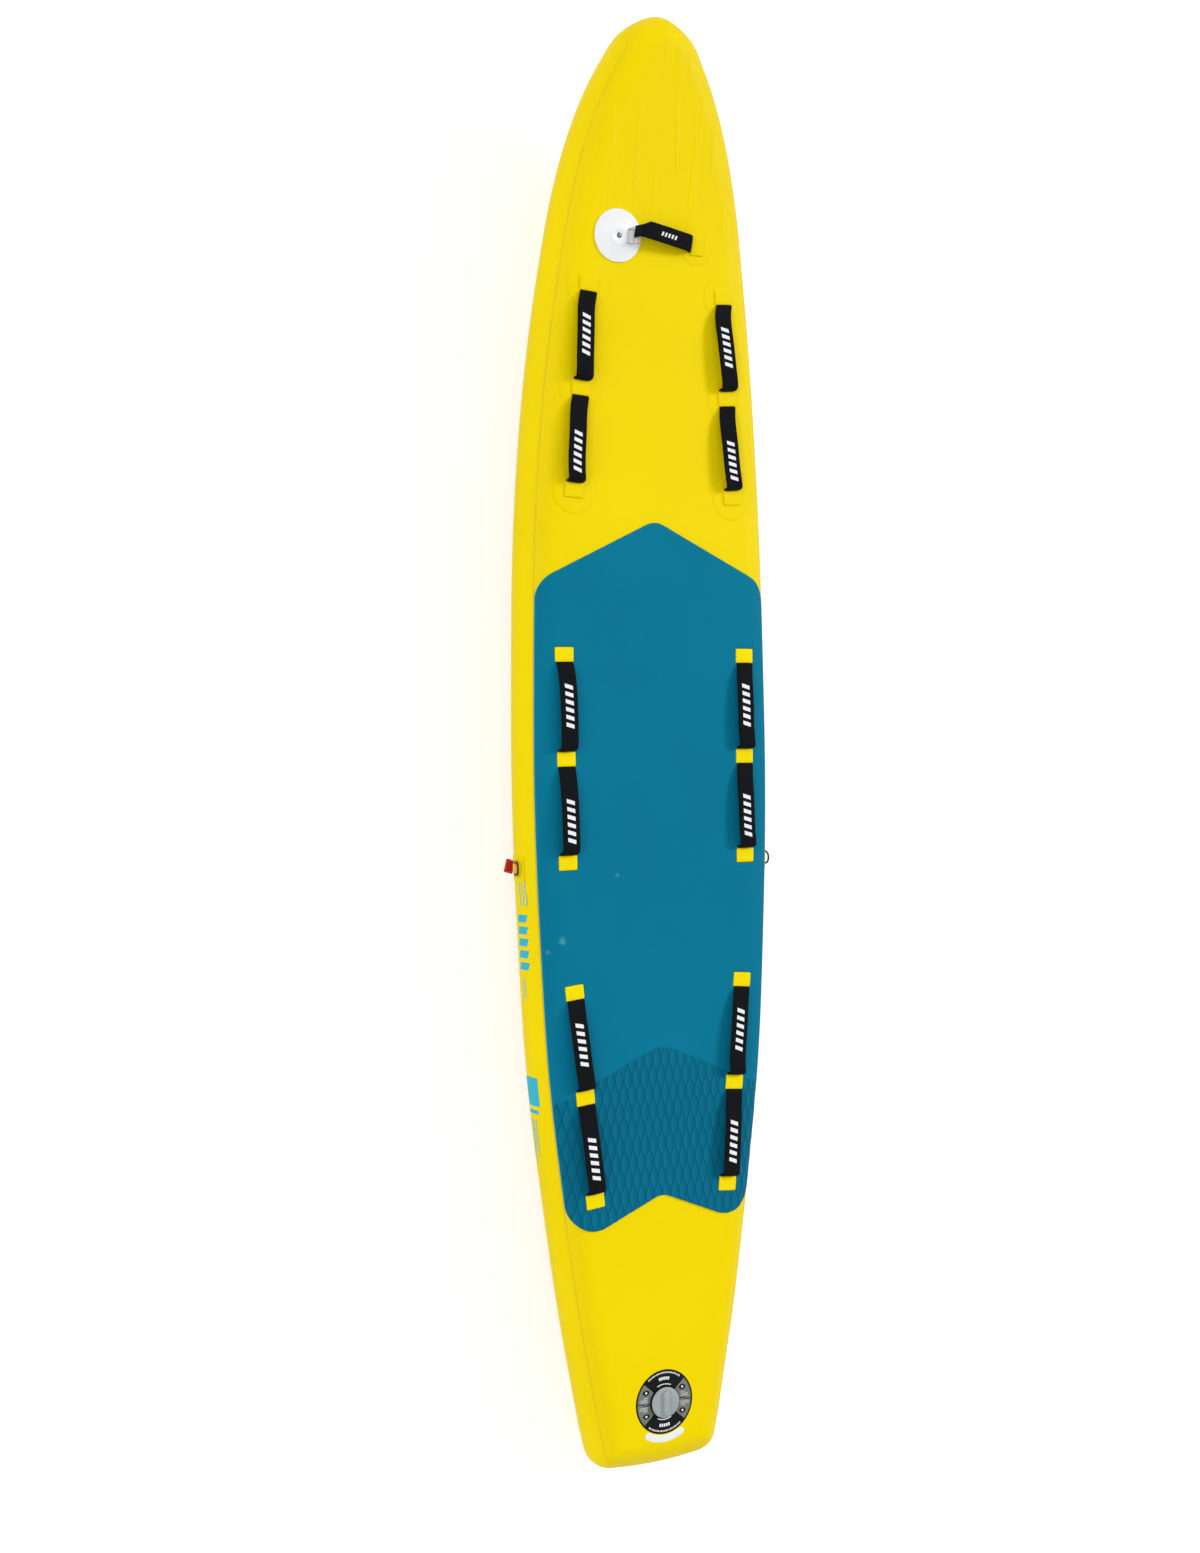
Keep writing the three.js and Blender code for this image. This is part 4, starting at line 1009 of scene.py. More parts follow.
class Strap:
    """Arched webbing sleeve in its joint's frame: u from foot to foot, v across, n off the deck."""

    def __init__(self, node, half_span, width, rise, shares, normal, low, lean, taper=None):
        joint = joint_of(node + "_tilt")
        self.node = node
        self.origin = np.array(joint["pos_m"], float) / MM
        self.u = np.array(joint["axis"], float)
        self.u /= np.linalg.norm(self.u)
        v = np.cross(normal, self.u)
        self.v = v / np.linalg.norm(v)
        self.n = np.cross(self.u, self.v)
        self.width = width
        line = np.array([(a * half_span, h * (rise - STRAP_THICKNESS / 2)) for a, h in shares])
        line = np.vstack([[line[0][0], -low], line, [line[-1][0] + 1.5, -low * 0.6]])
        self.line = smooth_line(line, 7)
        step = np.linalg.norm(np.diff(self.line, axis=0), axis=1)
        self.along = np.concatenate([[0], np.cumsum(step)])
        self.half_span = half_span
        self.lean = lean
        self.taper = taper or (lambda a: 1 + 0 * a)

    def normals(self):
        run = np.gradient(self.line, axis=0)
        run /= np.linalg.norm(run, axis=1)[:, None]
        return np.column_stack([-run[:, 1], run[:, 0]])

    def world(self, a, v, h):
        return self.origin + np.outer(a, self.u) + np.outer(v, self.v) + np.outer(h, self.n)

    def surface(self, along, across, lift):
        """World points on the outer face at a distance along the strap and across it."""
        normal = self.normals()
        a = np.interp(along, self.along, self.line[:, 0])
        h = np.interp(along, self.along, self.line[:, 1])
        na = np.interp(along, self.along, normal[:, 0])
        nh = np.interp(along, self.along, normal[:, 1])
        section = strap_section(self.width, STRAP_THICKNESS)[:SECTION_STEPS + 1]
        out = np.interp(across, section[:, 0], section[:, 1]) + lift
        share = a / self.half_span
        return self.world(a + na * out, across * self.taper(share) + self.lean(share), h + nh * out)

    def build(self, material):
        normal = self.normals()
        section = strap_section(self.width, STRAP_THICKNESS)
        m = len(section)
        rings, uv = [], []
        for k, (a, h) in enumerate(self.line):
            share = a / self.half_span
            across = section[:, 0] * self.taper(share) + self.lean(share)
            points = self.world(a + normal[k, 0] * section[:, 1], across, h + normal[k, 1] * section[:, 1])
            rings.append(points)
            uv.append(np.column_stack([np.full(m, self.along[k]), section[:, 0]]))
        faces = band_faces(len(rings), m, turned=True)
        faces.extend(end_faces(len(rings), m))
        obj = new_object(self.node + "_sleeve", np.vstack(rings), faces, [material], sharp=60)
        unrolled = np.vstack(uv) * MM
        layer = obj.data.uv_layers.new(name="weave")
        loops = np.empty(len(obj.data.loops), np.int32)
        obj.data.loops.foreach_get("vertex_index", loops)
        layer.data.foreach_set("uv", unrolled[loops].astype(np.float32).ravel())
        return consistent(obj)

    def dress(self):
        """Makes the sleeve, its feet on the board, and hides the strap's own part."""
        sleeve = self.build(WEBBING)
        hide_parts(self.node)
        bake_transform(sleeve)

    def bars(self, centre, length, height, count):
        """Row of slanted printed bars on the outer face."""
        pitch = length / count
        stroke = pitch * 0.52
        slant = height * 0.3
        parts = []
        rows = np.linspace(-0.5, 0.5, 7)
        for k in range(count):
            start = centre - length / 2 + (k + 0.24) * pitch
            verts, faces = [], []
            for lift in (0.18, -0.1):
                for edge in (0, 1):
                    along = start + edge * stroke + slant * rows
                    verts.append(self.surface(along, height * rows, lift))
            verts = np.vstack(verts)
            n = len(rows)
            for i in range(n - 1):
                faces.append((i, i + 1, n + i + 1, n + i))
                faces.append((2 * n + i, 3 * n + i, 3 * n + i + 1, 2 * n + i + 1))
                faces.append((i, 2 * n + i, 2 * n + i + 1, i + 1))
                faces.append((n + i, n + i + 1, 3 * n + i + 1, 3 * n + i))
            faces.append((0, n, 3 * n, 2 * n))
            faces.append((n - 1, 3 * n - 1, 4 * n - 1, 2 * n - 1))
            parts.append((verts, faces))
        consistent(add_piece(self.node + "_print", merged(parts), WHITE_INK, self.node, "webbing"))


# Sideways bow of each strap: middle, and its change from aft to fore, in mm to port
STRAP_LEANS = {
    "port_front": ((6.5, 4.0), (7.5, 1.0)),
    "port_mid": ((-1.0, 0.0), (0.5, 1.0)),
    "port_rear": ((4.5, 0.8), (3.0, 1.0)),
    "starboard_front": ((7.0, 6.5), (7.5, 2.5)),
    "starboard_mid": ((6.5, 0.5), (6.0, 1.0)),
    "starboard_rear": ((7.5, -1.0), (4.0, 1.0)),
}
# Move of the printed bars toward the nose from the middle of each strap of a row
PRINT_SHIFTS = {"front": (5, -24), "mid": (6, -17), "rear": (9, -12)}


def strap_lean(middle, change):
    return lambda a: (middle + change * a) * (1 - np.clip(np.abs(a), 0, 1) ** 4)


def make_straps():
    for side_name, side in SIDES:
        for row in STRAP_ROWS:
            anchors = row_anchors(row, side)
            lift = (PATCH_THICKNESS if row == "front" else PAD_THICKNESS) + 2 * CLEARANCE
            z = THICKNESS + rocker(anchors[:, 0]) + lift
            feet = np.column_stack([anchors, z])
            for index in (0, 1):
                node = f"strap_{side_name}_{row}_{index + 1}"
                span = np.linalg.norm(feet[index] - feet[index + 1]) - TAB_LENGTH - 2 * STRAP_END_GAP
                half = (span - STRAP_THICKNESS) / 2
                lean = strap_lean(*STRAP_LEANS[f"{side_name}_{row}"][index])
                strap = Strap(node, half, STRAP_WIDTH, STRAP_RISE, ARCH_SHARES, (0, 0, 1), 2.0, lean)
                strap.dress()
                centre = strap.along[-1] / 2 + PRINT_SHIFTS[row][index]
                strap.bars(centre, 92 if row == "front" else 100, 19, 6)


# Nose strap and fitting

NOSE_STRAP_WIDTH = 37.0
NOSE_STRAP_RISE = 30.0
NOSE_STRAP_STARBOARD_X = 1116.0
NOSE_STRAP_PORT_X = 1134.0
NOSE_STRAP_PORT = 62.0
NOSE_STRAP_STARBOARD = 78.0
NOSE_PATCH_RADIUS = 43.0
DISC_X = 1118.0
DISC_PORT = 102.0
DISC_RADIUS = 56.5
DISC_RIM = 2.4
DISC_HUB = 23.0
DISC_HEIGHT = 9.0
DISC_SAG = 0.6
NOTCH_START = 22.0
NOTCH_LENGTH = 22.0
NOTCH_WIDTH = 33.0
NOTCH_CORNER = 3.0
TONGUE_LENGTH = 13.5
TONGUE_WIDTH = 27.0
HUB_TOP = DISC_HEIGHT - 2
NOTCH_FLOOR = DISC_RIM / 2
NOTCH_MIDDLE = -NOTCH_START - NOTCH_LENGTH / 2
SLIT_X = (2 - NOTCH_WIDTH) / 2 + NOTCH_CORNER
SLIT_HALF = 0.8


def deck_slope(x):
    return math.atan2(float(rocker(x + 1) - rocker(x - 1)), 2.0)


def seat(x, y, lift):
    base = Matrix.Translation((x, y, THICKNESS + float(rocker(x))))
    return base @ Matrix.Rotation(-deck_slope(x), 4, "Y") @ Matrix.Translation((0, 0, lift))


def make_nose_strap():
    slope = deck_slope(NOSE_STRAP_STARBOARD_X)
    normal = np.array([-math.sin(slope), 0, math.cos(slope)])
    run = math.hypot(NOSE_STRAP_PORT + NOSE_STRAP_STARBOARD, NOSE_STRAP_PORT_X - NOSE_STRAP_STARBOARD_X)
    half = (run - STRAP_THICKNESS) / 2

    def toward_port(a):
        return smoothstep((a - 0.7) / 0.3)

    strap = Strap("nose_strap", half, NOSE_STRAP_WIDTH, NOSE_STRAP_RISE, NOSE_SHARES, normal, 2.5,
                  lean=lambda a: 4 * toward_port(a), taper=lambda a: 1 - 0.3 * toward_port(a))
    strap.dress()
    strap.bars(strap.along[-1] * 0.45, 46, 9, 5)
    y = -NOSE_STRAP_STARBOARD - STRAP_END_GAP - TAB_LENGTH / 2
    low = PATCH_THICKNESS + 2 * CLEARANCE
    tab = tab_part(NOSE_STRAP_STARBOARD_X, y, math.pi / 2, low, THIN_TAB)
    add_cloth("nose_strap_tab_cover", tab, PATCH_YELLOW, "nose_strap_tab")
    patch = round_patch(NOSE_STRAP_STARBOARD_X, y, NOSE_PATCH_RADIUS)
    add_cloth("nose_strap_round_patch", patch, PATCH_YELLOW, "nose_strap_patch")


def disc_height(radius):
    cone = np.clip((DISC_RADIUS - radius) / (DISC_RADIUS - DISC_HUB), 0, 1) ** 1.15
    step = 1.8 * smoothstep((DISC_HUB - radius) / 2.2)
    dish = 1.9 * smoothstep((11.5 - radius) / 2.0)
    return DISC_RIM + (HUB_TOP - DISC_RIM) * cone + step - dish


def disc_outline():
    """Round outline of the fitting that runs in along its slit, round the notch and out again."""
    outer = circle(0, 0, DISC_RADIUS, 128)
    angles = np.arctan2(outer[:, 1], outer[:, 0])
    first = math.atan2(-DISC_RADIUS, SLIT_X)
    keep = [k for k, p in enumerate(outer) if p[1] >= 0 or abs(p[0] - SLIT_X) >= 2.8]
    rim = outer[sorted(keep, key=lambda k: (angles[k] - first) % (2 * math.pi))]
    low = -NOTCH_START - NOTCH_LENGTH
    near, far = SLIT_X - SLIT_HALF, SLIT_X + SLIT_HALF
    notch = placed(rounded_box(NOTCH_WIDTH, NOTCH_LENGTH, NOTCH_CORNER), 0, NOTCH_MIDDLE)[::-1]
    start = int(np.argmin(np.hypot(notch[:, 0] - near, notch[:, 1] - low)))
    loop = np.roll(notch, -start, axis=0)
    loop = [p for p in loop if p[1] >= low + 0.3 or abs(p[0] - SLIT_X) >= 1.2]
    into = [(near, -math.sqrt(DISC_RADIUS ** 2 - near ** 2)), (near, low)]
    back = [(far, low), (far, -math.sqrt(DISC_RADIUS ** 2 - far ** 2))]
    return np.vstack([rim, into, loop, back])


def make_nose_fitting():
    place = seat(DISC_X, DISC_PORT, CLEARANCE + DISC_SAG)

    def cone_top(points):
        return disc_height(np.hypot(points[:, 0], points[:, 1]))

    def tongue_top(points):
        return 2.6 - 0.35 * np.exp(-((points[:, 1] + 2) / 1.2) ** 2)

    cone = slab(resample(disc_outline(), 3.0), [], cone_top, flat(0.0), 2.6,
                bevel=((0, 0.5), (0.35, 0.1), (0.8, 0.0)))
    inner = placed(rounded_box(NOTCH_WIDTH - 0.2, NOTCH_LENGTH - 0.2, NOTCH_CORNER), 0, NOTCH_MIDDLE)
    base = slab(resample(inner, 3.0), [], flat(NOTCH_FLOOR), flat(0.0), 8.0, bevel=((0, 0.2), (0.4, 0.0)))
    add_piece("nose_fitting_cone", moved(merged([cone, base]), place), WHITE, "board", "white_moulding",
              "nose_fitting", sharp=40)
    tongue = slab(resample(rounded_box(TONGUE_WIDTH, TONGUE_LENGTH, NOTCH_CORNER), 3.0), [], tongue_top,
                  flat(0.0), 2.5, bevel=((0, 0.6), (0.3, 0.15), (0.9, 0.0)))
    lift = Matrix.Translation((0, -NOTCH_START - CLEARANCE - TONGUE_LENGTH / 2, NOTCH_FLOOR + 1.7))
    add_piece("nose_strap_tongue_plate", moved(tongue, place @ lift), WHITE, "board", "white_moulding",
              "nose_strap_tongue", sharp=40)
    washer = [(3.9, 0.05), (5.4, 0.05), (5.6, 0.35), (5.3, 0.55), (3.9, 0.55), (3.9, 0.05)]
    screw = [(0, -4.4), (2, -4.4), (2, 0.3), (3.9, 0.3), (4, 0.9), (3.3, 1.45), (1.9, 1.6), (1.7, 0.7),
             (0, 0.7)]
    for name, profile, material, slot, nodes in (
            ("nose_fitting_washer", washer, RUBBER, "seal_rubber", ()),
            ("nose_fitting_screw_head", screw, STEEL, "steel", ("nose_fitting_screw",))):
        part = lathe([(r, HUB_TOP + z) for r, z in profile], 48)
        add_piece(name, moved(part, place), material, "board", slot, *nodes)


# Valve

CAP_LOW = 146.6
CAP_CROWN = CAP_LOW + 4.5
CAP_RIBS = 36
GRIP_LENGTH = 56
SPRING_LOW = 111.3
SPRING_HIGH = 129.7
SPRING_TURNS = 7
SPRING_WIRE = 0.75
SPRING_RADIUS = 4.2


def grip_top(points):
    edge = np.clip(np.abs(points[:, 0]) / (GRIP_LENGTH / 2), 0, 1)
    dip = 0.5 * np.exp(-(points[:, 1] / 2.2) ** 2) * (edge < 0.7)
    return CAP_CROWN + 7.1 - 1.6 * edge ** 4 - dip


def make_valve():
    here = Matrix.Translation((VALVE_X, 0, 0))
    plug = [(0, 137), (13.6, 137), (14, 137.4), (14, 138.6), (13.6, 139), (11.8, 139), (11.8, CAP_LOW)]
    shell = [(33.4, 0), (34, 0.5), (34, 2.4), (33.6, 3.3), (32.4, 4.1), (31, 4.5), (20, 4.6), (0, 4.6)]
    cap = lathe(plug + [(r, CAP_LOW + z) for r, z in shell], 96)
    rib = slab(rounded_box(1.2, 2.2, 0.5, 2), [], flat(CAP_LOW + 2.9), flat(CAP_LOW + 0.4), 5.0,
               bevel=((0, 0.3), (0.2, 0.0)))
    reach = Matrix.Translation((33.5, 0, 0))
    turns = [Matrix.Rotation(2 * math.pi * k / CAP_RIBS, 4, "Z") for k in range(CAP_RIBS)]
    ribs = [moved(rib, turn @ reach) for turn in turns]
    grip = slab(resample(rounded_box(GRIP_LENGTH, 13, 6, 6), 3.0), [], grip_top, flat(CAP_CROWN - 1), 2.2,
                bevel=((0, 1.9), (0.4, 0.9), (1.1, 0.2), (1.8, 0.0)))
    add_piece("valve_cap_moulded", moved(merged([cap, *ribs, grip]), here), GREY, "valve_cap",
              "grey_moulding", "valve_cap", sharp=40)
    t = np.linspace(0, 1, SPRING_TURNS * 20 + 1)
    a = t * SPRING_TURNS * 2 * math.pi
    low, high = SPRING_LOW + 0.8, SPRING_HIGH - 0.8
    rise = low + (high - low) * np.clip((t * SPRING_TURNS - 0.75) / (SPRING_TURNS - 1.5), 0, 1)
    path = np.column_stack([SPRING_RADIUS * np.cos(a), SPRING_RADIUS * np.sin(a), rise])
    outward = np.column_stack([np.cos(a), np.sin(a), 0 * a])
    wire = moved(sweep(path, circle(0, 0, SPRING_WIRE, 8), outward, False), here)
    coil = new_object("valve_coil_spring", *wire, [STEEL])
    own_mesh(coil)
    fit(coil, "board", "steel", "valve_spring")


# Rings, loops and tag on the rails

RING_X = from_tail(1354.0)
RAIL_STEP = 2.0
RAIL_ANGLES = np.arange(-60.0, 60.5, RAIL_STEP)
RING_WIRE = 2.2
RING_INNER = 24.0
RING_DEPTH = 20.0
RING_LEAN = 8
RING_SHARES = ((-1, 0), (-1, 0.35), (-0.86, 0.72), (-0.45, 0.96), (0, 1), (0.45, 0.96), (0.86, 0.72),
               (1, 0.35), (1, 0))
LOOP_RADIUS = RING_WIRE + 1.3


def port_side(ring):
    """x and y of the ring's port side, with x rising."""
    half = ring[:len(STATIONS)]
    order = np.argsort(half[:, 0])
    return half[order, 0], half[order, 1]


def rail_reach(radius):
    """Distance of the rail's widest line from the middle of the board, beside the rings."""
    return float(np.interp(RING_X, *port_side(rail_ring(radius, 0))))


def rail_map(points, side, radius):
    """Maps (x, angle in degrees) to the rail surface of the radius."""
    x, angle = points[:, 0], points[:, 1]
    table = [port_side(rail_ring(radius, a)) for a in RAIL_ANGLES]
    k = np.clip(((angle - RAIL_ANGLES[0]) / RAIL_STEP).astype(int), 0, len(RAIL_ANGLES) - 2)
    t = (angle - RAIL_ANGLES[k]) / RAIL_STEP
    y = np.empty(len(x))
    for i in np.unique(k):
        pick = k == i
        low = np.interp(x[pick], *table[i])
        high = np.interp(x[pick], *table[i + 1])
        y[pick] = low + (high - low) * t[pick]
    z = SKIN_RADIUS + radius * np.sin(np.radians(angle)) + rocker(x)
    return np.column_stack([x, side * y, z])


def rail_slab(ring, side, low, high, grid):
    """Thin piece that lies on the rail: its outline is given as x and arc length from the widest point."""
    ring = resample(ring, grid)
    points = np.vstack([ring, clear_points(grid_points(ring, grid), ring, (), grid * 0.35)])
    edges = closed_edges(0, len(ring))
    faces = region_faces(points, edges, ring)
    spots = np.column_stack([points[:, 0], np.degrees(points[:, 1] / BAND_RADIUS)])
    n = len(points)
    outward = [f if side < 0 else f[::-1] for f in faces]
    inward = [tuple(n + i for i in f[::-1]) for f in outward]
    walls = [(i, n + i, n + j, j) for i, j in edges]
    return np.vstack([rail_map(spots, side, high), rail_map(spots, side, low)]), outward + inward + walls


def loop_line(edge):
    """Section line of the strip that lies on the patch and passes round the ring's bar."""
    band = rail_reach(BAND_RADIUS + 1.4)
    angles = np.radians(np.linspace(-78, 78, 15))
    line = [(band - 0.6, -9.0), (band + 0.3, -7.2), (edge - 1.2, -LOOP_RADIUS)]
    line += [(edge + LOOP_RADIUS * math.cos(a), LOOP_RADIUS * math.sin(a)) for a in angles]
    line += [(edge - 1.2, LOOP_RADIUS), (band + 0.3, 7.2), (band - 0.6, 9.0)]
    return smooth_line(line, 3)


def make_rings():
    half = RING_INNER / 2 + RING_WIRE
    bow = smooth_line([(a * half, b * (RING_DEPTH + RING_WIRE)) for a, b in RING_SHARES], 6)
    bar = np.column_stack([np.linspace(half, -half, 12)[1:-1], np.zeros(10)])
    line = np.vstack([bow, bar])
    path = np.column_stack([line[:, 0], np.zeros(len(line)), line[:, 1]])
    wire = sweep(path, circle(0, 0, RING_WIRE, 16), np.tile([0.0, 1.0, 0.0], (len(path), 1)), True)
    patch_box = rounded_box(58, 2 * BAND_RADIUS * math.radians(21.5), 9)
    for side_name, side in SIDES:
        node = f"rail_ring_{side_name}"
        origin = np.array(joint_of(f"ring_swing_{side_name}")["pos_m"], float) / MM
        place = Matrix.Translation(origin) @ Matrix.Rotation(-side * math.radians(RING_LEAN), 4, "X")
        consistent(add_piece(node + "_wire", moved(wire, place), BLACK, node, "black_moulding", node))
        patch = rail_slab(placed(patch_box, RING_X, 0), side, BAND_RADIUS + 0.3, BAND_RADIUS + 1.5, 5.0)
        loop = loop_line(abs(origin[1]))
        path = np.column_stack([np.full(len(loop), RING_X), side * loop[:, 0], SKIN_RADIUS + loop[:, 1]])
        run = np.gradient(loop, axis=0)
        run /= np.linalg.norm(run, axis=1)[:, None]
        out = np.column_stack([np.zeros(len(loop)), side * run[:, 1], -run[:, 0]])
        strip = sweep(path, rounded_box(22, 1.7, 0.8, 3), out, False)
        indices = [0] * len(patch[1]) + [1] * len(strip[1])
        finishes = [PATCH_YELLOW, PALE_ORANGE]
        obj = new_object(f"ring_patch_{side_name}_cloth", *merged([patch, strip]), finishes, indices)
        fit(consistent(obj), "board", "coated_fabric", f"ring_patch_{side_name}")


TAG_LENGTH = 30.0
TAG_REACH = 23.0
TAG_TURN = -16.0
TAG_THICKNESS = 1.4
TAG_TILT = 8.0
TAG_ANGLE = -25.0
TAG_SEAM = 5
STITCH_PITCH = 2.6


def make_tag():
    angle = math.radians(TAG_ANGLE)
    edge = rail_reach(BAND_RADIUS) - BAND_RADIUS
    root = BAND_RADIUS + CLEARANCE
    place = Matrix.Translation((RING_X, edge + root * math.cos(angle), SKIN_RADIUS + root * math.sin(angle)))
    place = place @ Matrix.Rotation(math.radians(TAG_TILT), 4, "X")
    place = place @ Matrix.Rotation(math.radians(TAG_TURN), 4, "Z")

    def bow(lift):
        return lambda points: 0.4 * np.sin(points[:, 1] / TAG_REACH * math.pi) + lift

    ring = placed(rounded_box(TAG_LENGTH, TAG_REACH, 3, 4), 0, TAG_REACH / 2)
    part = slab(resample(ring, 4.0), [], bow(-0.2), bow(0.1 - TAG_THICKNESS), 4.0,
                bevel=((0, 0.35), (0.4, 0.0)))
    add_piece("rail_tag_cloth", moved(part, place), RED, "board", "red_cloth", "rail_tag")
    seam = placed(rounded_box(TAG_LENGTH - TAG_SEAM, TAG_REACH - TAG_SEAM, 2, 4), 0, TAG_REACH / 2)
    seam = resample(seam, STITCH_PITCH)
    stitches = []
    for a, b in zip(seam, seam[1:]):
        run = b - a
        size = np.linalg.norm(run)
        if size >= 1.0:
            thread = rounded_box(size * 0.72, 0.5, 0.15, 2)
            ring = placed(thread, *((a + b) / 2), math.atan2(run[1], run[0]))
            stitch = slab(ring, [], bow(0.02), bow(-0.3), 5.0, bevel=((0, 0.1), (0.1, 0.0)))
            stitches.append(moved(stitch, place))
    add_piece("rail_tag_stitches", merged(stitches), THREAD, "board", "red_cloth")


# Fin and the kept inner parts

FIN_DEPTH = 66.0
FIN_TOP = -12.5
FIN_LEAD = ((0, 0), (0.09, 0.35), (0.24, 0.68), (0.45, 0.92), (0.66, 1), (0.84, 0.97))
FIN_TRAIL = ((1, 0), (0.86, 0.3), (0.83, 0.6), (0.86, 0.86), (0.84, 0.97))
FIN_TIP = 0.97


def make_fin():
    low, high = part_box("fin")
    fore = high[0] / MM
    chord = fore - low[0] / MM
    lead = smooth_line(FIN_LEAD, 6)
    trail = smooth_line(FIN_TRAIL, 6)
    t = (1 - np.cos(np.linspace(0, math.pi, 15))) / 2
    bulge = np.sqrt(np.clip(1 - (2 * t - 0.62) ** 2 / 1.9, 0.02, 1))
    bulge *= np.minimum(1, np.minimum(t, 1 - t) * 9 + 0.15)
    rows = []
    for down in [*np.linspace(0, 0.92, 24), 0.95, FIN_TIP]:
        a = np.interp(down, lead[:, 1], lead[:, 0]) if down < FIN_TIP else 0.62
        b = np.interp(down, trail[:, 1], trail[:, 0])
        thick = 3.0 * (1 - 0.6 * down) * bulge
        x = fore - chord * (a + (b - a) * t)
        z = np.full(len(t), FIN_TOP - down * FIN_DEPTH)
        rows.append(np.vstack([np.column_stack([x, thick, z]), np.column_stack([x, -thick, z])[::-1]]))
    faces = band_faces(len(rows), len(rows[0]))
    faces.extend(end_faces(len(rows), len(rows[0])))
    parts = [(np.vstack(rows), faces)]
    for width, top, bottom, bevel in ((13.2, -5.8, -9.2, ((0, 0.6), (0.5, 0.0))),
                                      (6, -9.0, -12.7, ((0, 0.1), (0.1, 0.0)))):
        ring = placed(rounded_box(chord, width, 2, 3), fore - chord / 2, 0)
        parts.append(slab(ring, [], flat(top), flat(bottom), 20.0, bevel=bevel))
    consistent(add_piece("fin_foil", merged(parts), BLACK, "fin", "black_moulding", "fin"))


def finish_cad_nodes():
    table = {
        "drop_stitch_core": CORE, "valve_body": GREY, "valve_nut": GREY, "valve_pin": BLACK,
        "cap_seal": RUBBER, "fin_box": BLACK,
    }
    for name, material in table.items():
        data = frame["nodes"][name].data
        if not data.materials:
            data.materials.append(material)
        for k in range(len(data.materials)):
            data.materials[k] = material


# Prints

LABEL_RADIUS = 72
LABEL_HOLE_RADIUS = 30.7
CRESCENT_RADIUS = 82.5
CRESCENT_HALF_WIDTH = 8.0
CRESCENT_SPREAD = 30


def flat_print(name, rings, lift, height, material):
    bevel = ((0, 0.05), (0.1, 0.0))
    parts = [deck_slab(resample(ring, 6.0), lift, height, 12.0, bevel=bevel) for ring in rings]
    add_cloth(name, merged(parts), material)


def sector(inner, outer, start, stop, steps=24):
    a = np.radians(np.linspace(start, stop, steps + 1))
    far = np.column_stack([VALVE_X + outer * np.cos(a), outer * np.sin(a)])
    near = np.column_stack([VALVE_X + inner * np.cos(a[::-1]), inner * np.sin(a[::-1])])
    return np.vstack([far, near])


def ribbon(points, width):
    points = np.asarray(points, float)
    run = np.gradient(points, axis=0)
    run /= np.linalg.norm(run, axis=1)[:, None]
    side = np.column_stack([-run[:, 1], run[:, 0]]) * width / 2
    return np.vstack([points - side, (points + side)[::-1]])


def crescent():
    """Outline of the sticker: a bent strip with round ends."""
    start, stop = 180 - CRESCENT_SPREAD, 180 + CRESCENT_SPREAD
    near, far = CRESCENT_RADIUS - CRESCENT_HALF_WIDTH, CRESCENT_RADIUS + CRESCENT_HALF_WIDTH
    outer = sector(near, far, start, stop, 30)
    t = np.linspace(0, math.pi, 10)[1:-1]
    ends = []
    for angle, sign in ((stop, 1), (start, -1)):
        a = math.radians(angle)
        out = np.array([math.cos(a), math.sin(a)])
        along = np.array([-out[1], out[0]])
        round_end = np.outer(np.cos(t), out * sign) + np.outer(np.sin(t), along * sign)
        ends.append((VALVE_X, 0) + CRESCENT_RADIUS * out + CRESCENT_HALF_WIDTH * round_end)
    half = len(outer) // 2
    return np.vstack([outer[:half], ends[0], outer[half:], ends[1]])


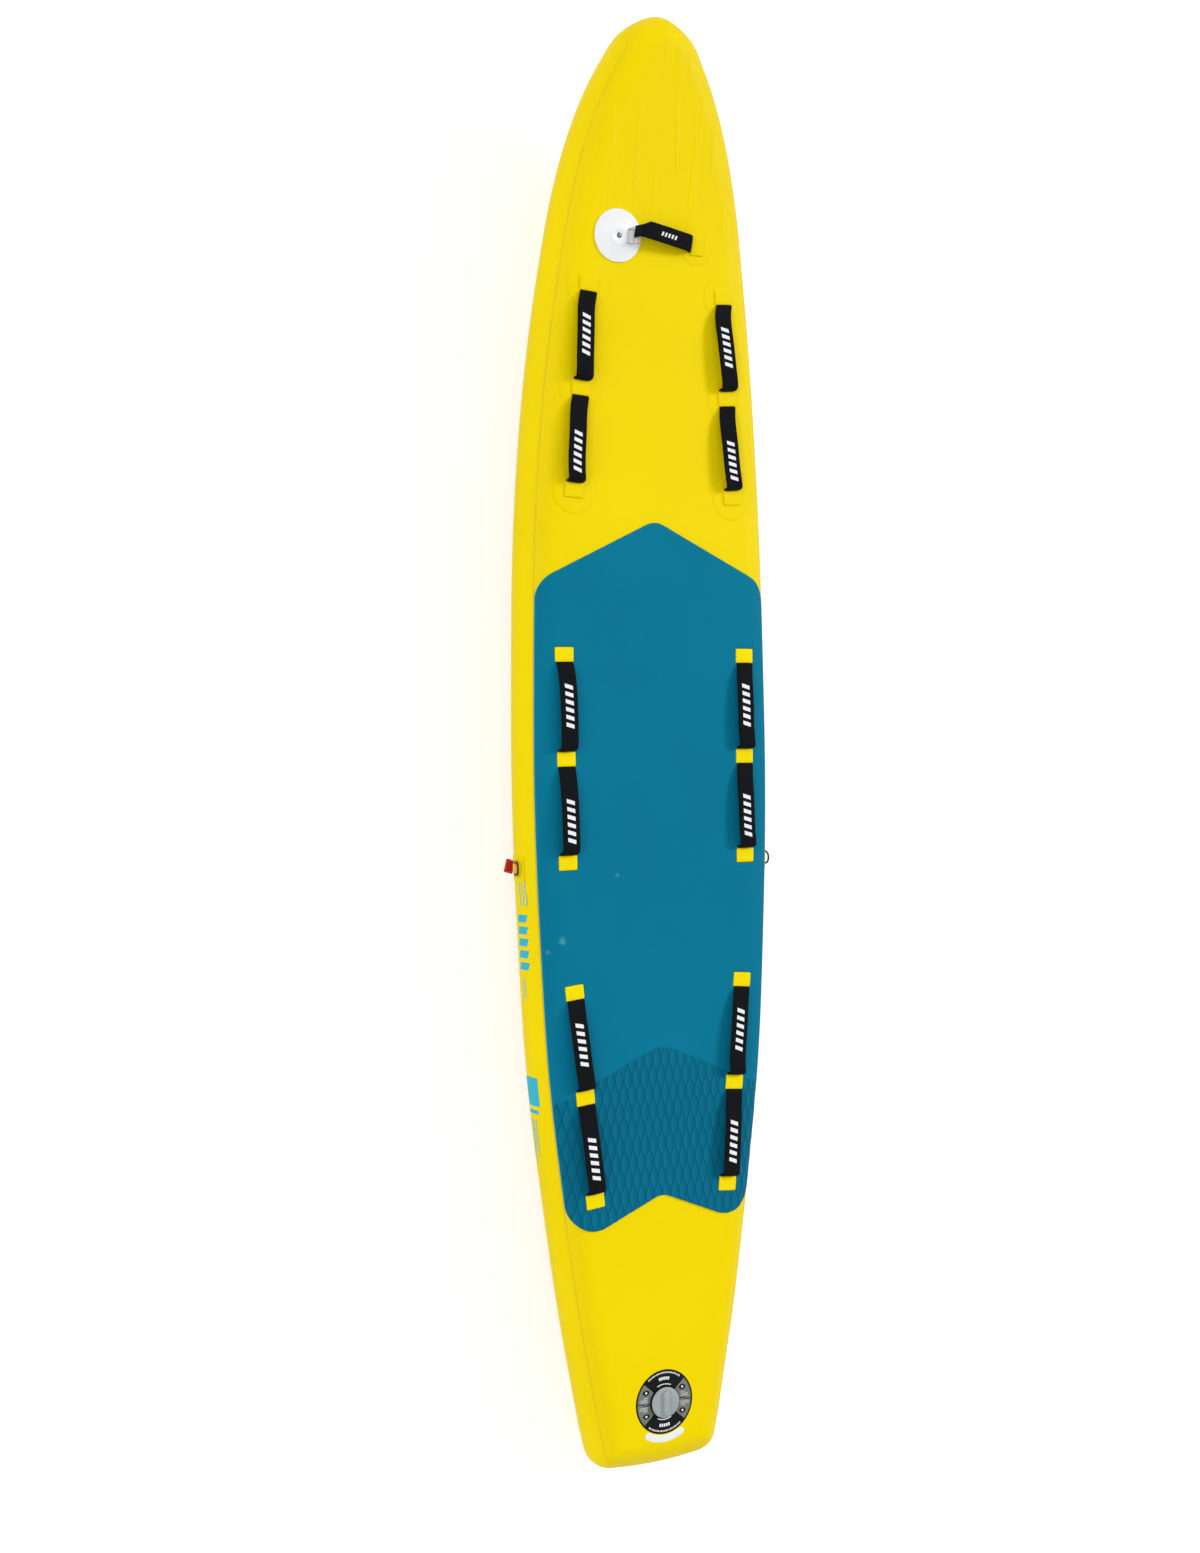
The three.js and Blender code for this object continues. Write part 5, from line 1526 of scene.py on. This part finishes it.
def make_label():
    disc = circle(VALVE_X, 0, LABEL_RADIUS, 96)
    hole = circle(VALVE_X, 0, LABEL_HOLE_RADIUS, 64)[::-1]
    label = deck_slab(disc, 0.05, 0.25, 12.0, [hole], bevel=((0, 0.1), (0.2, 0.0)))
    add_cloth("valve_label", label, BLACK_INK)
    flat_print("valve_label_fields", [sector(36, 68, 48, 132), sector(36, 68, 228, 312)], 0.3, 0.1, GREY_INK)
    waves = []
    lines = []
    for centre, side in ((90, 1), (270, -1)):
        t = np.linspace(0, 1, 24)
        r = 36 + 34 * t
        turn = np.radians(centre + 3.2 * np.sin(t * 2 * math.pi))
        waves.append(ribbon(np.column_stack([VALVE_X + r * np.cos(turn), r * np.sin(turn)]), 2.0))
        for along, start, stop in ((6.5, 41, 62), (10.5, 43, 60), (14.5, 41, 52),
                                   (-6.5, 40, 62), (-10.5, 42, 64), (-14.5, 43, 54)):
            middle = side * (start + stop) / 2
            lines.append(placed(rounded_box(1.9, stop - start, 0.5, 2), VALVE_X + along, middle))
    flat_print("valve_label_waves", waves, 0.4, 0.1, BLACK_INK)
    flat_print("valve_label_lines", lines, 0.4, 0.1, PALE_INK)
    ovals = []
    dots = []
    for angle in (60, 120, 240, 300):
        a = math.radians(angle)
        cx = VALVE_X + 53 * math.cos(a)
        cy = 53 * math.sin(a)
        ovals.append(placed(circle(0, 0, 8.4, 24, 0.72), cx, cy, math.pi / 2))
        dots.append(circle(cx, cy, 2.6, 16))
    flat_print("valve_label_ovals", ovals, 0.5, 0.1, BLACK_INK)
    flat_print("valve_label_dots", dots, 0.6, 0.1, WHITE_INK)
    bars = []
    for base in (0, 180):
        for step in range(-11, 12):
            middle = base + step * 3.3
            width = (0.8, 1.15, 0.95)[step % 3]
            bars.append(sector(63.6, 67.2, middle - width, middle + width, 3))
        for step in range(-2, 3):
            middle = base + step * 6
            bars.append(sector(49, 56, middle - 2.2, middle + 2.2, 3))
        bars.append(sector(38.5, 40.5, base - 26, base + 26, 20))
    flat_print("valve_label_bars", bars, 0.35, 0.1, WHITE_INK)
    flat_print("crescent_sticker", [crescent()], 0.05, 0.3, WHITE_INK)


def rail_print(name, rings):
    """Print on the port rail: rings of x and arc length up from the widest point."""
    low, high = BAND_RADIUS + 0.02, BAND_RADIUS + 0.14
    parts = [rail_slab(np.array(ring, float), 1, low, high, 5.0) for ring in rings]
    consistent(add_cloth(name, merged(parts), BLUE_INK))


def make_rail_prints():
    """Plain generic marks in the places of the prints on the port rail."""
    waves = []
    for arc in (8, 18, 28):
        x = np.linspace(-272, -328, 30)
        waves.append(ribbon(np.column_stack([x, arc + 2.4 * np.sin((x + 272) / 9)]), 2.6))
    rail_print("rail_print_waves", waves)
    bars = []
    for k in range(5):
        x = -346 - 26 * k
        bars.append([(x - 17, -10), (x - 17, 24), (x, 30), (x, -4)][::-1])
    rail_print("rail_print_bars", bars)
    block = [placed(rounded_box(64, 56, 3, 4), -734, 0), placed(rounded_box(9, 50, 1, 2), -779, -3)]
    for arc, stop in ((-18, -880), (-9, -896), (0, -860), (9, -872)):
        middle = (-796 + stop) / 2
        block.append(placed(rounded_box(-796 - stop, 3, 0.8, 2), middle, arc))
    for arc in (4, 12):
        block.append(placed(rounded_box(44, 2.4, 0.8, 2), -508, arc))
    rail_print("rail_print_blocks", block)


# Camera, floor and lights

def make_camera():
    data = bpy.data.cameras.new("camera")
    data.sensor_width = 36.0
    data.lens = 45.31
    data.clip_end = 100
    camera = bpy.data.objects.new("camera", data)
    bpy.context.scene.collection.objects.link(camera)
    view = Vector((-0.02328348, -0.46114814, -0.88701763)).normalized()
    up = Vector((0.99965392, -0.02160581, -0.01500753)).normalized()
    right = view.cross(up).normalized()
    up = right.cross(view)
    turn = Matrix((right, up, -view)).transposed().to_4x4()
    camera.matrix_world = Matrix.Translation((0.05030, 2.10497, 3.91767)) @ turn
    bpy.context.scene.camera = camera


# Brightness of the surroundings, as light and as the added glow of the floor where it is seen
SKY_LEVEL = 0.42
FLOOR_GLOW = 0.52
FLOOR_LEVEL = -0.0798
FLOOR_REACH = 60.0


def make_stage():
    mesh = bpy.data.meshes.new("floor")
    corners = [(x * FLOOR_REACH, y * FLOOR_REACH, FLOOR_LEVEL)
               for x, y in ((-1, -1), (1, -1), (1, 1), (-1, 1))]
    mesh.from_pydata(corners, [], [(0, 1, 2, 3)])
    floor = bpy.data.objects.new("floor", mesh)
    bpy.context.scene.collection.objects.link(floor)
    f = Finish("floor", (0.72, 0.72, 0.72, 1), 0.9, specular=0.1)
    ray = f.node("ShaderNodeLightPath").outputs
    seen = f.math("MAXIMUM", ray["Is Camera Ray"], ray["Is Glossy Ray"])
    glow = f.node("ShaderNodeEmission", (1, 1, 1, 1), f.math("MULTIPLY", seen, FLOOR_GLOW))
    both = f.node("ShaderNodeAddShader", f.shader.outputs[0], glow.outputs[0])
    f.link(both.outputs[0], f.tree.nodes["Material Output"].inputs["Surface"])
    mesh.materials.append(f.done())
    world = bpy.data.worlds.new("world")
    bpy.context.scene.world = world
    world.use_nodes = True
    tree = world.node_tree
    sky = tree.nodes["Background"]
    sky.inputs["Color"].default_value = (1, 1, 1, 1)
    ray = add_node(tree, "ShaderNodeLightPath").outputs["Is Camera Ray"]
    level = add_node(tree, "ShaderNodeMath", ray, 1 - SKY_LEVEL, SKY_LEVEL, operation="MULTIPLY_ADD")
    tree.links.new(level.outputs[0], sky.inputs["Strength"])


def make_sun(name, toward, spread, strength):
    """Soft distant lamp that shines from the direction given."""
    data = bpy.data.lights.new(name, "SUN")
    data.angle = math.radians(spread)
    data.energy = strength
    lamp = bpy.data.objects.new(name, data)
    bpy.context.scene.collection.objects.link(lamp)
    lamp.matrix_world = (-Vector(toward)).to_track_quat("-Z", "Y").to_matrix().to_4x4()


make_camera()
make_shell()
make_pad()
make_tabs()
make_straps()
make_nose_strap()
make_nose_fitting()
make_valve()
make_rings()
make_tag()
make_fin()
finish_cad_nodes()
make_label()
make_rail_prints()
make_stage()
make_sun("key_lamp", (0.30, -0.78, 0.55), 16, 1.65)
make_sun("fill_lamp", (0.05, 0.80, 0.60), 70, 1.55)

bpy.context.scene.view_settings.view_transform = "Standard"
